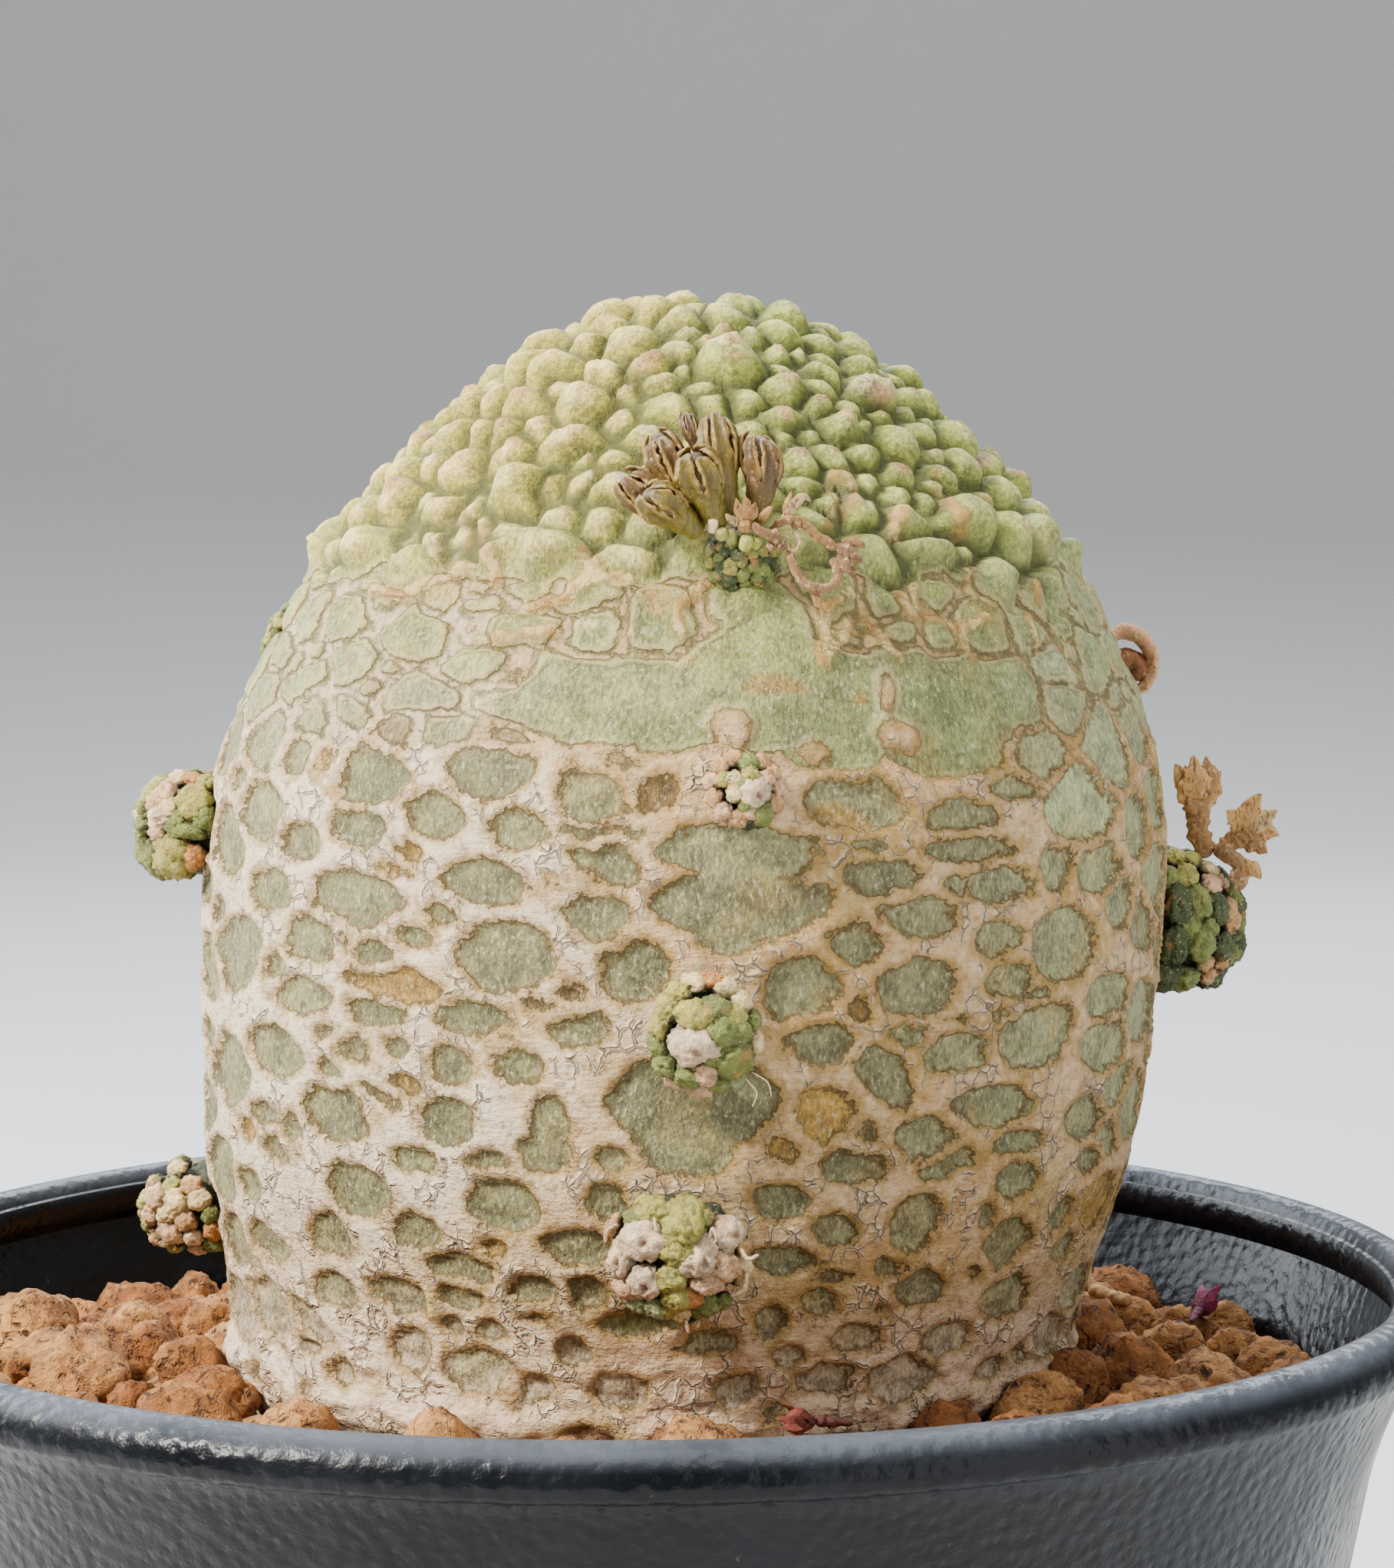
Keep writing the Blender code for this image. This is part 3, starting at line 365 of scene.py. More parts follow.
# Painted reflection: the top of the lip is painted pale bluish grey in uneven patches, as a sheen.
lip_sheen = times(tree, spread(tree, upward, 80.6, 82.0), spread(tree, haze, 0.3, 0.6, 0.4, 0.75))
dust_and_sheen = blend_colours(tree, lip_sheen, dust_and_sheen, paint(92, 98, 108))
tree.links.new(dust_and_sheen, shader.inputs["Base Color"])
rough = sum_of(tree, spread(tree, haze, 0.3, 0.75, 0.24, 0.4), times(tree, dust, 0.35))
tree.links.new(rough, shader.inputs["Roughness"])
relief_height = sum_of(tree, times(tree, pebble, 0.75), times(tree, fine, 0.25))
stand_out(tree, shader, relief_height, 0.2)
show(pot, black_plastic, "black_plastic", "pot")

# Clay grains
# The pot is filled with loose, rough grains of baked clay, 4 to 8 mm across, heaped a little
# against the stem. Smaller crumbs lie between them, over a packed bed that hides the roots.

BED_AT_STEM = 74.6
BED_AT_WALL = 72.0
BED_INSIDE = 25.5
GRAIN_SHAPES = 9
GRAIN_SEED = 21


def take_shape(piece):
    """The points and faces of a primitive, which is then cleared away."""
    points = np.empty(len(piece.data.vertices) * 3, np.float32)
    piece.data.vertices.foreach_get("co", points)
    faces = [tuple(face.vertices) for face in piece.data.polygons]
    bpy.data.objects.remove(piece)
    return points.reshape(-1, 3).astype(float), faces


def rounded_block(shape_seed, subdivisions, roughness):
    """One grain of unit size: a ball cut flat on several sides, then pitted."""
    draw = random.Random(shape_seed)
    bpy.ops.object.select_all(action="DESELECT")
    bpy.ops.mesh.primitive_ico_sphere_add(subdivisions=subdivisions, radius=1)
    grain = bpy.context.object
    cuts = []
    for _ in range(9):
        facing = Vector([draw.gauss(0, 1) for _ in range(3)]).normalized()
        cuts.append((facing, draw.uniform(0.68, 0.95)))
    offset = Vector([draw.uniform(-50, 50) for _ in range(3)])
    for vertex in grain.data.vertices:
        away = vertex.co.normalized()
        reach = 1.0
        for facing, distance in cuts:
            towards = away.dot(facing)
            if towards > 0.2:
                reach = min(reach, distance / towards)
        coarse = noise.noise(away * 1.7 + offset)
        middling = noise.noise(away * 4.1 + offset)
        small = noise.noise(away * 9.5 + offset)
        reach *= 1 + 0.10 * coarse + roughness * (0.11 * middling + 0.075 * small)
        vertex.co = away * reach
    return take_shape(grain)


def gather(name, shapes, placings):
    """One mesh of many turned and scaled copies, each with its own random shade."""
    all_points, all_faces, shades, count = [], [], [], 0
    for shape, turn, scale, centre, shade in placings:
        points, faces = shapes[shape]
        placed = (points * scale) @ np.array(turn.to_matrix()).T + centre
        all_points.append(placed)
        all_faces.append(np.array(faces) + count)
        shades.append(np.full(len(points), shade))
        count += len(points)
    mesh = bpy.data.meshes.new(name)
    mesh.from_pydata(np.vstack(all_points) * MM, [], np.vstack(all_faces).tolist())
    attribute = mesh.attributes.new("shade", "FLOAT", "POINT")
    attribute.data.foreach_set("value", np.concatenate(shades).astype(np.float32))
    piece = bpy.data.objects.new(name, mesh)
    bpy.context.scene.collection.objects.link(piece)
    return piece


def bed_height(radius):
    """The height of the bed of grains at a distance from the pot's middle."""
    share = min(1.0, max(0.0, (radius - BED_INSIDE) / (inner_wall(BED_AT_WALL) - BED_INSIDE)))
    return BED_AT_STEM + share * (BED_AT_WALL - BED_AT_STEM)


def any_turn(draw):
    """A random turn in space."""
    return Vector([draw.gauss(0, 1) for _ in range(3)]).normalized().rotation_difference(
        Vector([draw.gauss(0, 1) for _ in range(3)]).normalized()
    )


def scatter_grains(draw, sizes, tries, lift, crowding, others, most=None):
    """Places grains on the bed without much overlap: shape, turn, scale, centre and shade."""
    placings, taken = [], list(others)
    for _ in range(tries):
        size = draw.uniform(*sizes)
        around = draw.uniform(0, 2 * math.pi)
        widest = inner_wall(BED_AT_WALL) - 0.8 * size
        radius = math.sqrt(draw.uniform(BED_INSIDE**2, widest**2))
        flat = np.array((radius * math.cos(around), radius * math.sin(around)))
        if math.hypot(flat[0] - 1.2, flat[1]) < BED_INSIDE + 0.75 * size:
            continue
        if any(np.hypot(*(flat - spot)) < crowding * (size + other) for spot, other in taken):
            continue
        taken.append((flat, size))
        squat = np.array([draw.uniform(0.85, 1.15) for _ in range(3)])
        height = bed_height(radius) + lift * size + draw.uniform(-0.6, 0.5)
        centre = np.array((*flat, height))
        shape = draw.randrange(GRAIN_SHAPES)
        placings.append((shape, any_turn(draw), size * squat, centre, draw.random()))
        if most and len(placings) >= most:
            break
    return placings, taken


draw = random.Random(GRAIN_SEED)
detailed = [rounded_block(100 + number, 4, 1.0) for number in range(GRAIN_SHAPES)]
plain = [rounded_block(200 + number, 3, 1.0) for number in range(GRAIN_SHAPES)]
crumbly = [rounded_block(300 + number, 2, 0.6) for number in range(GRAIN_SHAPES)]
upper, _ = scatter_grains(draw, (2.1, 3.9), 5200, 0.15, 0.86, [])
lower, _ = scatter_grains(draw, (2.2, 3.6), 4200, -0.75, 0.84, [])
crumbs, _ = scatter_grains(draw, (0.5, 1.3), 1500, -0.2, 1.1, [], most=420)

bed_inner = [(25.9, 73.2), (25.0, 71.0), (23.0, 68.0), (19.0, 64.4), (10.0, 58.4)]
bed_under = [(6.0, 56.0), (6.0, FLOOR_TOP + 0.1), (32.0, FLOOR_TOP + 0.1)]
bed_outer = [(inner_wall(70) - 0.2, 70), (inner_wall(72) - 0.2, 71.2)]
bed_top = [(42.0, 71.5), (38.0, 72.0), (34.0, 72.3), (30.0, 72.8)]
bed = turned("packed_bed", bed_outer + bed_top + bed_inner + bed_under, 128)
smooth_by_angle(bed, 45)
upper_grains = gather("upper_grains", detailed, upper)
lower_grains = gather("lower_grains", plain, lower)
clay_crumbs = gather("clay_crumbs", crumbly, crumbs)
for piece in (upper_grains, lower_grains, clay_crumbs):
    select_only(piece)
    bpy.ops.object.shade_smooth()

clay_grain, tree, shader = new_finish("clay_grain", 0.93)
place = object_millimetres(tree)
shade = add_node(tree, "ShaderNodeAttribute", attribute_name="shade").outputs["Fac"]
mottle = grain_of(tree, place, 2.4, detail=5, roughness=0.65)
grit = grain_of(tree, place, 0.5, detail=4, roughness=0.7)
pits = grain_of(tree, place, 0.9, detail=3, roughness=0.6, distortion=0.6)
warm = blend_colours(tree, shade, paint(158, 98, 42), paint(206, 150, 86))
dark_or_warm = spread(tree, sum_of(tree, mottle, times(tree, grit, 0.3)), 0.42, 0.85)
clay = blend_colours(tree, dark_or_warm, paint(106, 60, 26), warm)
pale = spread(tree, sum_of(tree, times(tree, mottle, 0.5), times(tree, grit, 0.6)), 0.6, 0.78)
clay = blend_colours(tree, times(tree, pale, 0.5), clay, paint(222, 182, 124))
# The pits are painted dark brown, as painted shade in the hollows of the relief.
clay = blend_colours(tree, spread(tree, pits, 0.42, 0.3), clay, paint(62, 36, 18))
tree.links.new(clay, shader.inputs["Base Color"])
lumps = sum_of(tree, times(tree, spread(tree, pits, 0.3, 0.5), 0.6), times(tree, grit, 0.7))
stand_out(tree, shader, lumps, 0.6)

packed_clay, tree, shader = new_finish("packed_clay", 0.95)
place = object_millimetres(tree)
soil = spread(tree, grain_of(tree, place, 1.6, detail=5, roughness=0.7), 0.35, 0.7)
tree.links.new(
    blend_colours(tree, soil, paint(34, 22, 12), paint(92, 62, 34)), shader.inputs["Base Color"]
)
stand_out(tree, shader, soil, 0.8)
show(bed, packed_clay, "clay_grain", "clay_grains")
show(upper_grains, clay_grain, "clay_grain", "clay_grains")
show(lower_grains, clay_grain, "clay_grain", "clay_grains")
show(clay_crumbs, clay_grain, "clay_grain", "clay_grains")

# Stem
# One body of firm green tissue. Low down its skin has gone to cork, in a raised net of pinkish
# strands with sunken grey-green islands between; near the top it is still young, and all warts.

# height and radius
OUTLINE_MM = (
    (57, 0), (59, 9), (66, 19.5), (74, 25.2), (82, 27.2), (90, 29.1), (103, 30.0), (114, 29.4),
    (121, 26.8), (128, 22.9), (134.5, 17.2), (139.5, 11.4), (142.6, 5.6), (143.4, 0),
)
LEAN = 4.9
LEAN_START = 66
LEAN_LENGTH = 28
ANGLED = 0.02
ROW_TURN_DEG = 2.0
ROW_TWIST_DEG = 0.1
ROW_TWIST_FROM = 87
GIRTH_RADIUS = 30.0  # a place's side is its distance round from the front row at this radius
GROUND = 74
OUTLINE_STEPS = 24
STEM_SIDES = 400
STEM_RINGS = 244
BURIED_RINGS = 14
FRONT_SHARE = 0.3  # how much closer the columns stand in front than on average
NET_RISE = 0.24
WART_START = (124.5, 131.5)  # plates give way to warts between these heights
PLATE_START = (114.5, 119.5)  # and islands to crowded plates between these
CELL_SEED = 11
READ_SIDE = 33  # the front within this side was read from the photo, and no cells are drawn there
READ_LEVELS = (79, 120.5)
DRAWN_PLATES_FROM = 117
DRAWN_WARTS_FROM = 129
DRAWN_TRIES = ((9000, 1.0), (9000, 0.6), (7000, 0.36))  # how many, and their share of full size
SCARRED_SHARE = 0.45  # of the warts
WART_RISE = 1.05
LARGEST_WART = 2.2
RIDGE_RISE = 0.34
WAVE_SIZE = 2.6
RIPPLE_SIZE = 1.0
SWELL_SIZE = 9.0
FOLD_SPACING = 1.6
COLLAR_LEVEL = 76.6  # a low bulge just above the grains
RIDGE_SHARE = 0.8  # of its drawn half-width


def smooth_line(points, steps):
    """A smooth line through points, whose two ends only steer it, and the distance along it."""
    share = np.linspace(0, 1, steps, endpoint=False)[:, None]
    stretches = []
    for a, b, c, d in zip(points, points[1:], points[2:], points[3:]):
        square = (2 * a - 5 * b + 4 * c - d) * share**2
        cube = (3 * b - a - 3 * c + d) * share**3
        stretches.append(0.5 * (2 * b + (c - a) * share + square + cube))
    line = np.vstack([*stretches, points[-2:-1]])
    return line, np.concatenate([[0], np.cumsum(np.linalg.norm(np.diff(line, axis=0), axis=1))])


half_outline = np.array([(radius, height) for height, radius in OUTLINE_MM], float)
before, after = half_outline[1] * (-1, 1), half_outline[-2] * (-1, 1)
half_curve, outline_along = smooth_line(np.vstack([before, half_outline, after]), OUTLINE_STEPS)
outline_radius, outline_height = half_curve.T


def row_angle(row, height):
    """The direction of a row of cushions, in radians from +X, at a height."""
    turn = ROW_TURN_DEG + ROW_TWIST_DEG * (np.asarray(height) - ROW_TWIST_FROM)
    return np.radians(-90 + 90 * row + turn)


def smooth_step(low, high, value):
    share = np.clip((value - low) / (high - low), 0, 1)
    return share * share * (3 - 2 * share)


def smooth_stem(angle, along):
    """Points on the stem without its relief: round, with four blunt angles, and leaning."""
    radius = np.interp(along, outline_along, outline_radius)
    height = np.interp(along, outline_along, outline_height)
    angled = radius * (1 + ANGLED * np.cos(4 * (angle - row_angle(0, height))))
    axis = LEAN * (1 - np.exp(-np.maximum(0.0, height - LEAN_START) / LEAN_LENGTH))
    return np.stack([angled * np.cos(angle) + axis, angled * np.sin(angle), height], -1)


def unit(vectors):
    return vectors / np.maximum(np.linalg.norm(vectors, axis=-1, keepdims=True), 1e-9)


def skin_frame(angle, along):
    """The place on the smooth stem, and the directions round it, up it and out of it."""
    angle, along = np.asarray(angle, float), np.asarray(along, float)
    place = smooth_stem(angle, along)
    level = np.stack([-np.sin(angle), np.cos(angle), 0 * angle], -1)
    ahead = smooth_stem(angle, np.minimum(along + 0.1, outline_along[-1]))
    behind = smooth_stem(angle, np.maximum(along - 0.1, 0))
    up = unit(ahead - behind)
    level = unit(level - up * np.sum(level * up, axis=-1, keepdims=True))
    return place, level, up, np.cross(level, up)


def skin_spot(side, height, row=0):
    """The angle and the distance along the outline of a spot beside a row of cushions."""
    along = np.interp(height, outline_height, outline_along)
    return row_angle(row, height) + np.asarray(side) / GIRTH_RADIUS, along


# Islands of the net on the front: side, height, half-width, half-height and sometimes a tilt in
# degrees. Rows in one bracket are one island together.
GREY_ISLANDS = (
    ((-0.9, 96.5, 4.8, 2.4), (-1.1, 94.2, 2.6, 1.9)),
    ((0.2, 110.8, 4.1, 1.4), (0.5, 107.9, 4.7, 1.8), (-0.4, 106.2, 1.6, 1.0)),
    (-2.0, 83.2, 2.4, 0.9), (1.1, 82.4, 1.8, 0.9), (-8.4, 114.1, 2.0, 1.4),
    (-15.4, 115.0, 2.4, 1.4), (-12.8, 111.8, 1.6, 0.9), (-7.5, 111.9, 1.8, 0.35),
    ((-6.9, 109.8, 1.2, 1.0), (-8.8, 110.3, 0.5, 0.35)), (-14.8, 109.0, 2.4, 1.1),
    ((-8.2, 107.2, 1.7, 0.8, -35), (-7.2, 107.0, 1.4, 1.1)), (6.7, 113.4, 2.8, 1.3),
    (14.1, 112.3, 2.3, 0.9), (14.7, 110.6, 2.9, 0.75), (18.5, 113.9, 1.6, 0.5),
    (21.6, 115.8, 1.9, 1.3), (25.2, 118.3, 1.7, 1.2), (27.0, 108.6, 2.0, 0.9),
    (23.0, 109.0, 1.4, 0.9),
    ((16.8, 108.4, 1.9, 1.0), (14.0, 108.5, 0.8, 0.5), (19.2, 108.3, 0.8, 0.5)),
    (8.5, 109.3, 2.0, 1.0), (7.9, 110.9, 0.9, 0.3), (33.5, 110.8, 1.6, 1.5),
    (31.0, 106.2, 1.5, 1.0), (-18.4, 112.6, 1.8, 1.2), (-24.4, 111.4, 2.1, 1.0),
    (-24.8, 114.5, 3.2, 1.4), (-24.0, 107.3, 3.3, 1.5), (-29.8, 110.4, 1.8, 1.0),
    (-32.3, 107.3, 1.8, 1.1), (-32.0, 115.3, 1.5, 0.8), (-19.4, 117.4, 1.7, 0.7),
    (-22.5, 119.3, 2.2, 0.8), (-28.4, 118.3, 1.3, 0.8), (-31.3, 117.8, 1.8, 0.8),
    (11.0, 106.7, 2.4, 1.0), (7.5, 105.5, 1.4, 1.2), (17.3, 105.1, 1.5, 0.8),
    (23.7, 104.3, 2.3, 1.6), (-17.6, 106.7, 1.1, 0.6), (-19.3, 105.6, 1.3, 0.7),
    (-12.7, 104.6, 2.9, 1.9), (-5.1, 104.1, 1.7, 1.5), (4.4, 103.0, 2.1, 1.7),
    (11.8, 102.7, 2.5, 1.5), ((18.6, 102.5, 1.4, 0.9), (20.8, 101.3, 1.0, 0.4)),
    (11.4, 99.9, 1.0, 0.5), (14.9, 100.5, 0.8, 0.3), (18.9, 100.6, 0.7, 0.35),
    (21.7, 99.2, 2.6, 1.7), (15.0, 98.8, 2.0, 1.1), (6.1, 99.8, 1.9, 1.0),
    (10.1, 97.7, 2.4, 1.1, -38), (29.8, 100.5, 1.8, 1.0), (30.3, 97.7, 2.0, 1.1),
    (18.4, 95.1, 2.8, 1.0), (9.7, 94.2, 0.7, 0.6), (13.5, 93.8, 2.0, 1.0), (29.4, 93.2, 1.7, 0.9),
    (21.8, 92.7, 1.2, 0.4), (9.0, 92.5, 2.0, 0.9), (-22.5, 104.3, 1.3, 0.6),
    (-27.8, 104.7, 2.2, 1.2), (-31.8, 102.9, 1.2, 0.8), (-28.5, 101.2, 2.6, 1.0),
    (-21.9, 100.9, 1.8, 0.8), (-14.6, 100.9, 2.0, 0.9), (-10.2, 101.8, 1.2, 0.5),
    (-12.6, 99.9, 0.8, 0.35), (-8.1, 100.9, 1.7, 0.9), (-23.3, 98.5, 1.4, 0.8),
    (-20.6, 98.9, 1.2, 0.5), (-25.8, 99.4, 1.0, 0.4), (-15.9, 98.2, 1.2, 0.9),
    (-11.5, 98.4, 1.3, 1.0), (-31.0, 97.6, 2.6, 1.2), (-25.5, 97.0, 0.8, 0.6),
    (-20.8, 95.9, 1.0, 0.6), (-24.6, 94.6, 2.6, 1.6), (-15.9, 94.8, 1.7, 1.2),
    ((-9.2, 95.2, 1.0, 1.2), (-9.3, 93.4, 1.3, 1.0)), (-5.3, 93.2, 0.8, 0.5),
    (-32.1, 93.5, 1.4, 0.6), (-29.0, 93.0, 0.8, 0.8), (-18.0, 92.3, 1.3, 0.5),
    (-12.8, 92.7, 0.9, 0.5), (4.6, 90.6, 1.4, 0.9), (-5.4, 90.7, 1.0, 0.8), (-11.8, 90.2, 1.9, 1.3),
    (-22.6, 90.0, 2.0, 1.4), (-30.5, 91.9, 1.5, 0.7),
    ((15.0, 91.6, 0.9, 0.4), (17.0, 92.3, 0.8, 0.35)), (22.4, 90.2, 1.6, 1.0),
    (30.8, 90.6, 1.0, 0.6), (14.2, 88.7, 1.6, 1.5), (8.5, 88.8, 1.0, 0.7), (-7.0, 88.0, 1.8, 0.9),
    (-17.8, 88.0, 1.3, 0.8), (-25.5, 86.9, 1.6, 1.1), (-34.6, 89.0, 1.5, 0.8),
    (20.3, 88.4, 0.5, 0.8), (28.8, 87.2, 1.1, 1.0), (23.1, 86.3, 2.1, 1.4), (12.9, 86.2, 0.8, 0.5),
    (5.6, 87.1, 1.7, 0.7), (-14.4, 86.2, 2.0, 0.7), (-33.3, 85.4, 2.4, 1.0), (-9.6, 85.2, 1.3, 0.8),
    (-6.0, 85.3, 0.8, 0.8), (15.9, 84.4, 1.6, 1.0), (30.8, 85.2, 1.0, 0.7), (8.6, 84.3, 0.9, 0.6),
    (-14.7, 84.3, 1.3, 0.7), (-19.4, 83.9, 1.6, 0.9), (-25.3, 83.5, 1.5, 0.8),
    (5.5, 83.3, 0.8, 0.8), (25.4, 82.6, 2.1, 1.2), (11.8, 81.8, 1.2, 0.8), (-14.7, 82.1, 0.8, 0.6),
    (-12.2, 82.3, 0.8, 0.5), (-6.5, 81.6, 0.6, 0.5), (7.3, 81.1, 0.8, 0.5),
    (-28.2, 81.1, 1.8, 0.7, -30), (20.1, 80.7, 1.7, 0.8), (-18.7, 80.6, 1.2, 1.1),
    (-12.8, 80.0, 2.1, 1.4), (10.6, 79.3, 1.8, 1.0), (4.3, 79.2, 0.9, 0.8), (-3.4, 79.4, 1.3, 0.8),
    (-28.9, 79.6, 1.8, 0.5), (26.4, 77.8, 1.7, 0.9), (-21.5, 77.5, 0.9, 0.8),
    (-32.2, 76.3, 1.0, 0.7), (-28.5, 76.7, 0.7, 0.5), (-13.7, 76.4, 1.8, 0.5),
)
OCHRE_ISLANDS = (
    (-20.3, 110.3, 0.7, 0.5), (-20.9, 109.4, 0.8, 0.3), (-28.0, 115.0, 1.2, 0.9),
    (-20.8, 102.6, 3.0, 0.9), (6.3, 95.7, 2.0, 1.4), (4.6, 93.9, 0.8, 0.7), (-19.3, 96.7, 1.1, 0.5),
    (-12.5, 87.6, 0.6, 0.4), (-9.0, 83.6, 0.9, 0.35), (-20.2, 125.5, 0.9, 0.4),
)
BROWN_ISLANDS = (
    (-5.0, 114.1, 0.9, 0.8), (-7.4, 115.7, 0.8, 0.4), (-10.0, 108.8, 0.5, 0.4),
    (-22.6, 117.3, 1.2, 0.6), (-14.7, 117.0, 0.8, 0.4), (-27.0, 119.8, 1.0, 0.5),
    (-8.6, 102.7, 0.7, 0.5), (-24.6, 105.0, 0.5, 0.5), (-21.5, 94.8, 0.5, 0.3),
    (7.9, 101.7, 0.7, 0.6), (21.0, 85.0, 0.6, 0.35), (13.3, 83.2, 0.5, 0.3), (9.3, 85.9, 1.0, 0.25),
)
PALE_ISLANDS = (
    (25.5, 112.7, 3.3, 2.1), (29.5, 115.5, 2.5, 2.0), (37.0, 81.6, 2.4, 1.2),
    (25.8, 121.0, 2.0, 1.0),
)
# Broad smooth plates on the shoulder of the stem.
PLATES = (
    (
        (-11.5, 119.6, 4.6, 2.2), (-6.0, 119.3, 3.6, 2.6), (0.3, 120.6, 4.2, 3.6),
        (5.5, 119.6, 3.8, 3.0), (11.0, 119.5, 3.8, 2.8), (16.5, 119.2, 3.6, 2.8),
        (19.5, 119.4, 2.4, 2.2), (6.0, 116.9, 2.2, 1.5), (13.5, 116.2, 3.5, 1.4),
        (0.3, 124.4, 3.6, 1.6),
    ),
    (-8.0, 127.3, 2.3, 0.9), (-16.5, 127.6, 3.2, 1.6), (-15.3, 125.5, 2.3, 0.7),
    (-19.4, 124.8, 1.6, 0.6), (-16.0, 123.3, 2.8, 0.8), (-18.3, 121.2, 2.0, 0.8),
    (9.9, 124.8, 1.5, 1.1), (14.8, 125.2, 1.8, 0.9), (15.3, 127.5, 2.9, 1.4),
    (14.1, 129.1, 2.2, 1.1), (22.5, 125.8, 2.6, 1.3), (30.0, 125.2, 2.0, 1.2),
    (22.5, 129.5, 3.0, 1.7), (-24.5, 122.6, 3.6, 1.3), (-33.0, 123.6, 3.6, 1.3),
    (-28.0, 126.6, 3.6, 1.3, 12), (-34.5, 127.6, 3.4, 1.6),
)
# Warts near the top, on the front: side and height, and the half-width and half-height along
# the skin.
WARTS = (
    (0.5, 139.0, 2.1, 2.1), (-6.5, 138.8, 0.7, 0.7), (-11.5, 138.8, 1.3, 1.2),
    (-9.3, 137.9, 1.5, 1.0), (-3.9, 137.5, 1.0, 0.9), (-2.6, 136.6, 1.2, 1.2),
    (1.5, 136.7, 1.1, 1.2), (-6.9, 136.3, 1.7, 1.1), (7.6, 137.6, 1.5, 1.1), (7.9, 138.9, 0.7, 0.6),
    (16.0, 138.6, 1.0, 1.1), (13.5, 137.7, 0.9, 0.9), (11.3, 136.6, 1.0, 0.9),
    (5.5, 135.6, 1.6, 1.0), (1.8, 134.7, 1.5, 1.0), (6.2, 133.1, 1.0, 1.4), (5.0, 134.5, 0.9, 0.8),
    (8.2, 135.0, 0.6, 0.6), (9.8, 133.3, 0.85, 1.0), (5.1, 131.6, 1.5, 0.7),
    (26.0, 138.8, 1.3, 1.6), (22.4, 137.2, 1.8, 1.7), (16.3, 136.4, 0.8, 0.7),
    (21.0, 136.0, 1.0, 0.7), (12.8, 135.1, 1.4, 1.3), (17.2, 135.5, 0.5, 0.5),
    (14.2, 133.5, 1.2, 1.0), (20.0, 134.3, 1.5, 1.5), (13.0, 132.1, 0.6, 0.6),
    (17.0, 132.5, 1.15, 0.85), (22.9, 132.2, 1.4, 0.9), (16.0, 131.1, 0.8, 0.6),
    (26.4, 134.9, 1.1, 0.9), (29.0, 132.9, 1.5, 1.2), (34.0, 134.6, 1.5, 1.5),
    (38.0, 137.0, 1.3, 1.3), (-18.8, 136.4, 1.8, 1.7), (-23.1, 135.2, 1.2, 0.9),
    (-18.2, 134.2, 1.8, 1.5), (-24.7, 133.8, 1.3, 1.1), (-32.3, 134.9, 1.1, 1.1),
    (-28.3, 136.6, 1.5, 1.2), (-13.4, 135.6, 0.9, 0.7), (-12.2, 133.2, 1.3, 1.0),
    (-10.8, 131.5, 1.6, 1.2), (-21.0, 131.2, 2.1, 2.1), (-17.8, 131.6, 0.7, 1.0),
    (-30.4, 132.5, 1.3, 1.6), (-28.6, 130.2, 1.6, 1.0), (-22.6, 129.3, 0.8, 0.7),
    (-15.3, 129.6, 1.3, 0.8), (-36.5, 130.8, 1.7, 1.5), (-29.5, 138.9, 1.9, 1.6),
    (-19.0, 140.7, 1.4, 1.3), (-18.0, 138.4, 1.4, 1.2), (-28.0, 140.4, 1.3, 1.2),
    (-38.0, 139.2, 1.7, 1.5), (-40.0, 136.5, 1.6, 1.5), (3.0, 142.2, 1.4, 1.0),
    (1.0, 141.2, 0.9, 0.7), (-6.0, 141.2, 0.8, 0.8), (-7.5, 140.2, 1.1, 0.8),
    (14.0, 141.0, 1.5, 1.3), (-20.0, 142.6, 1.6, 1.5),
)
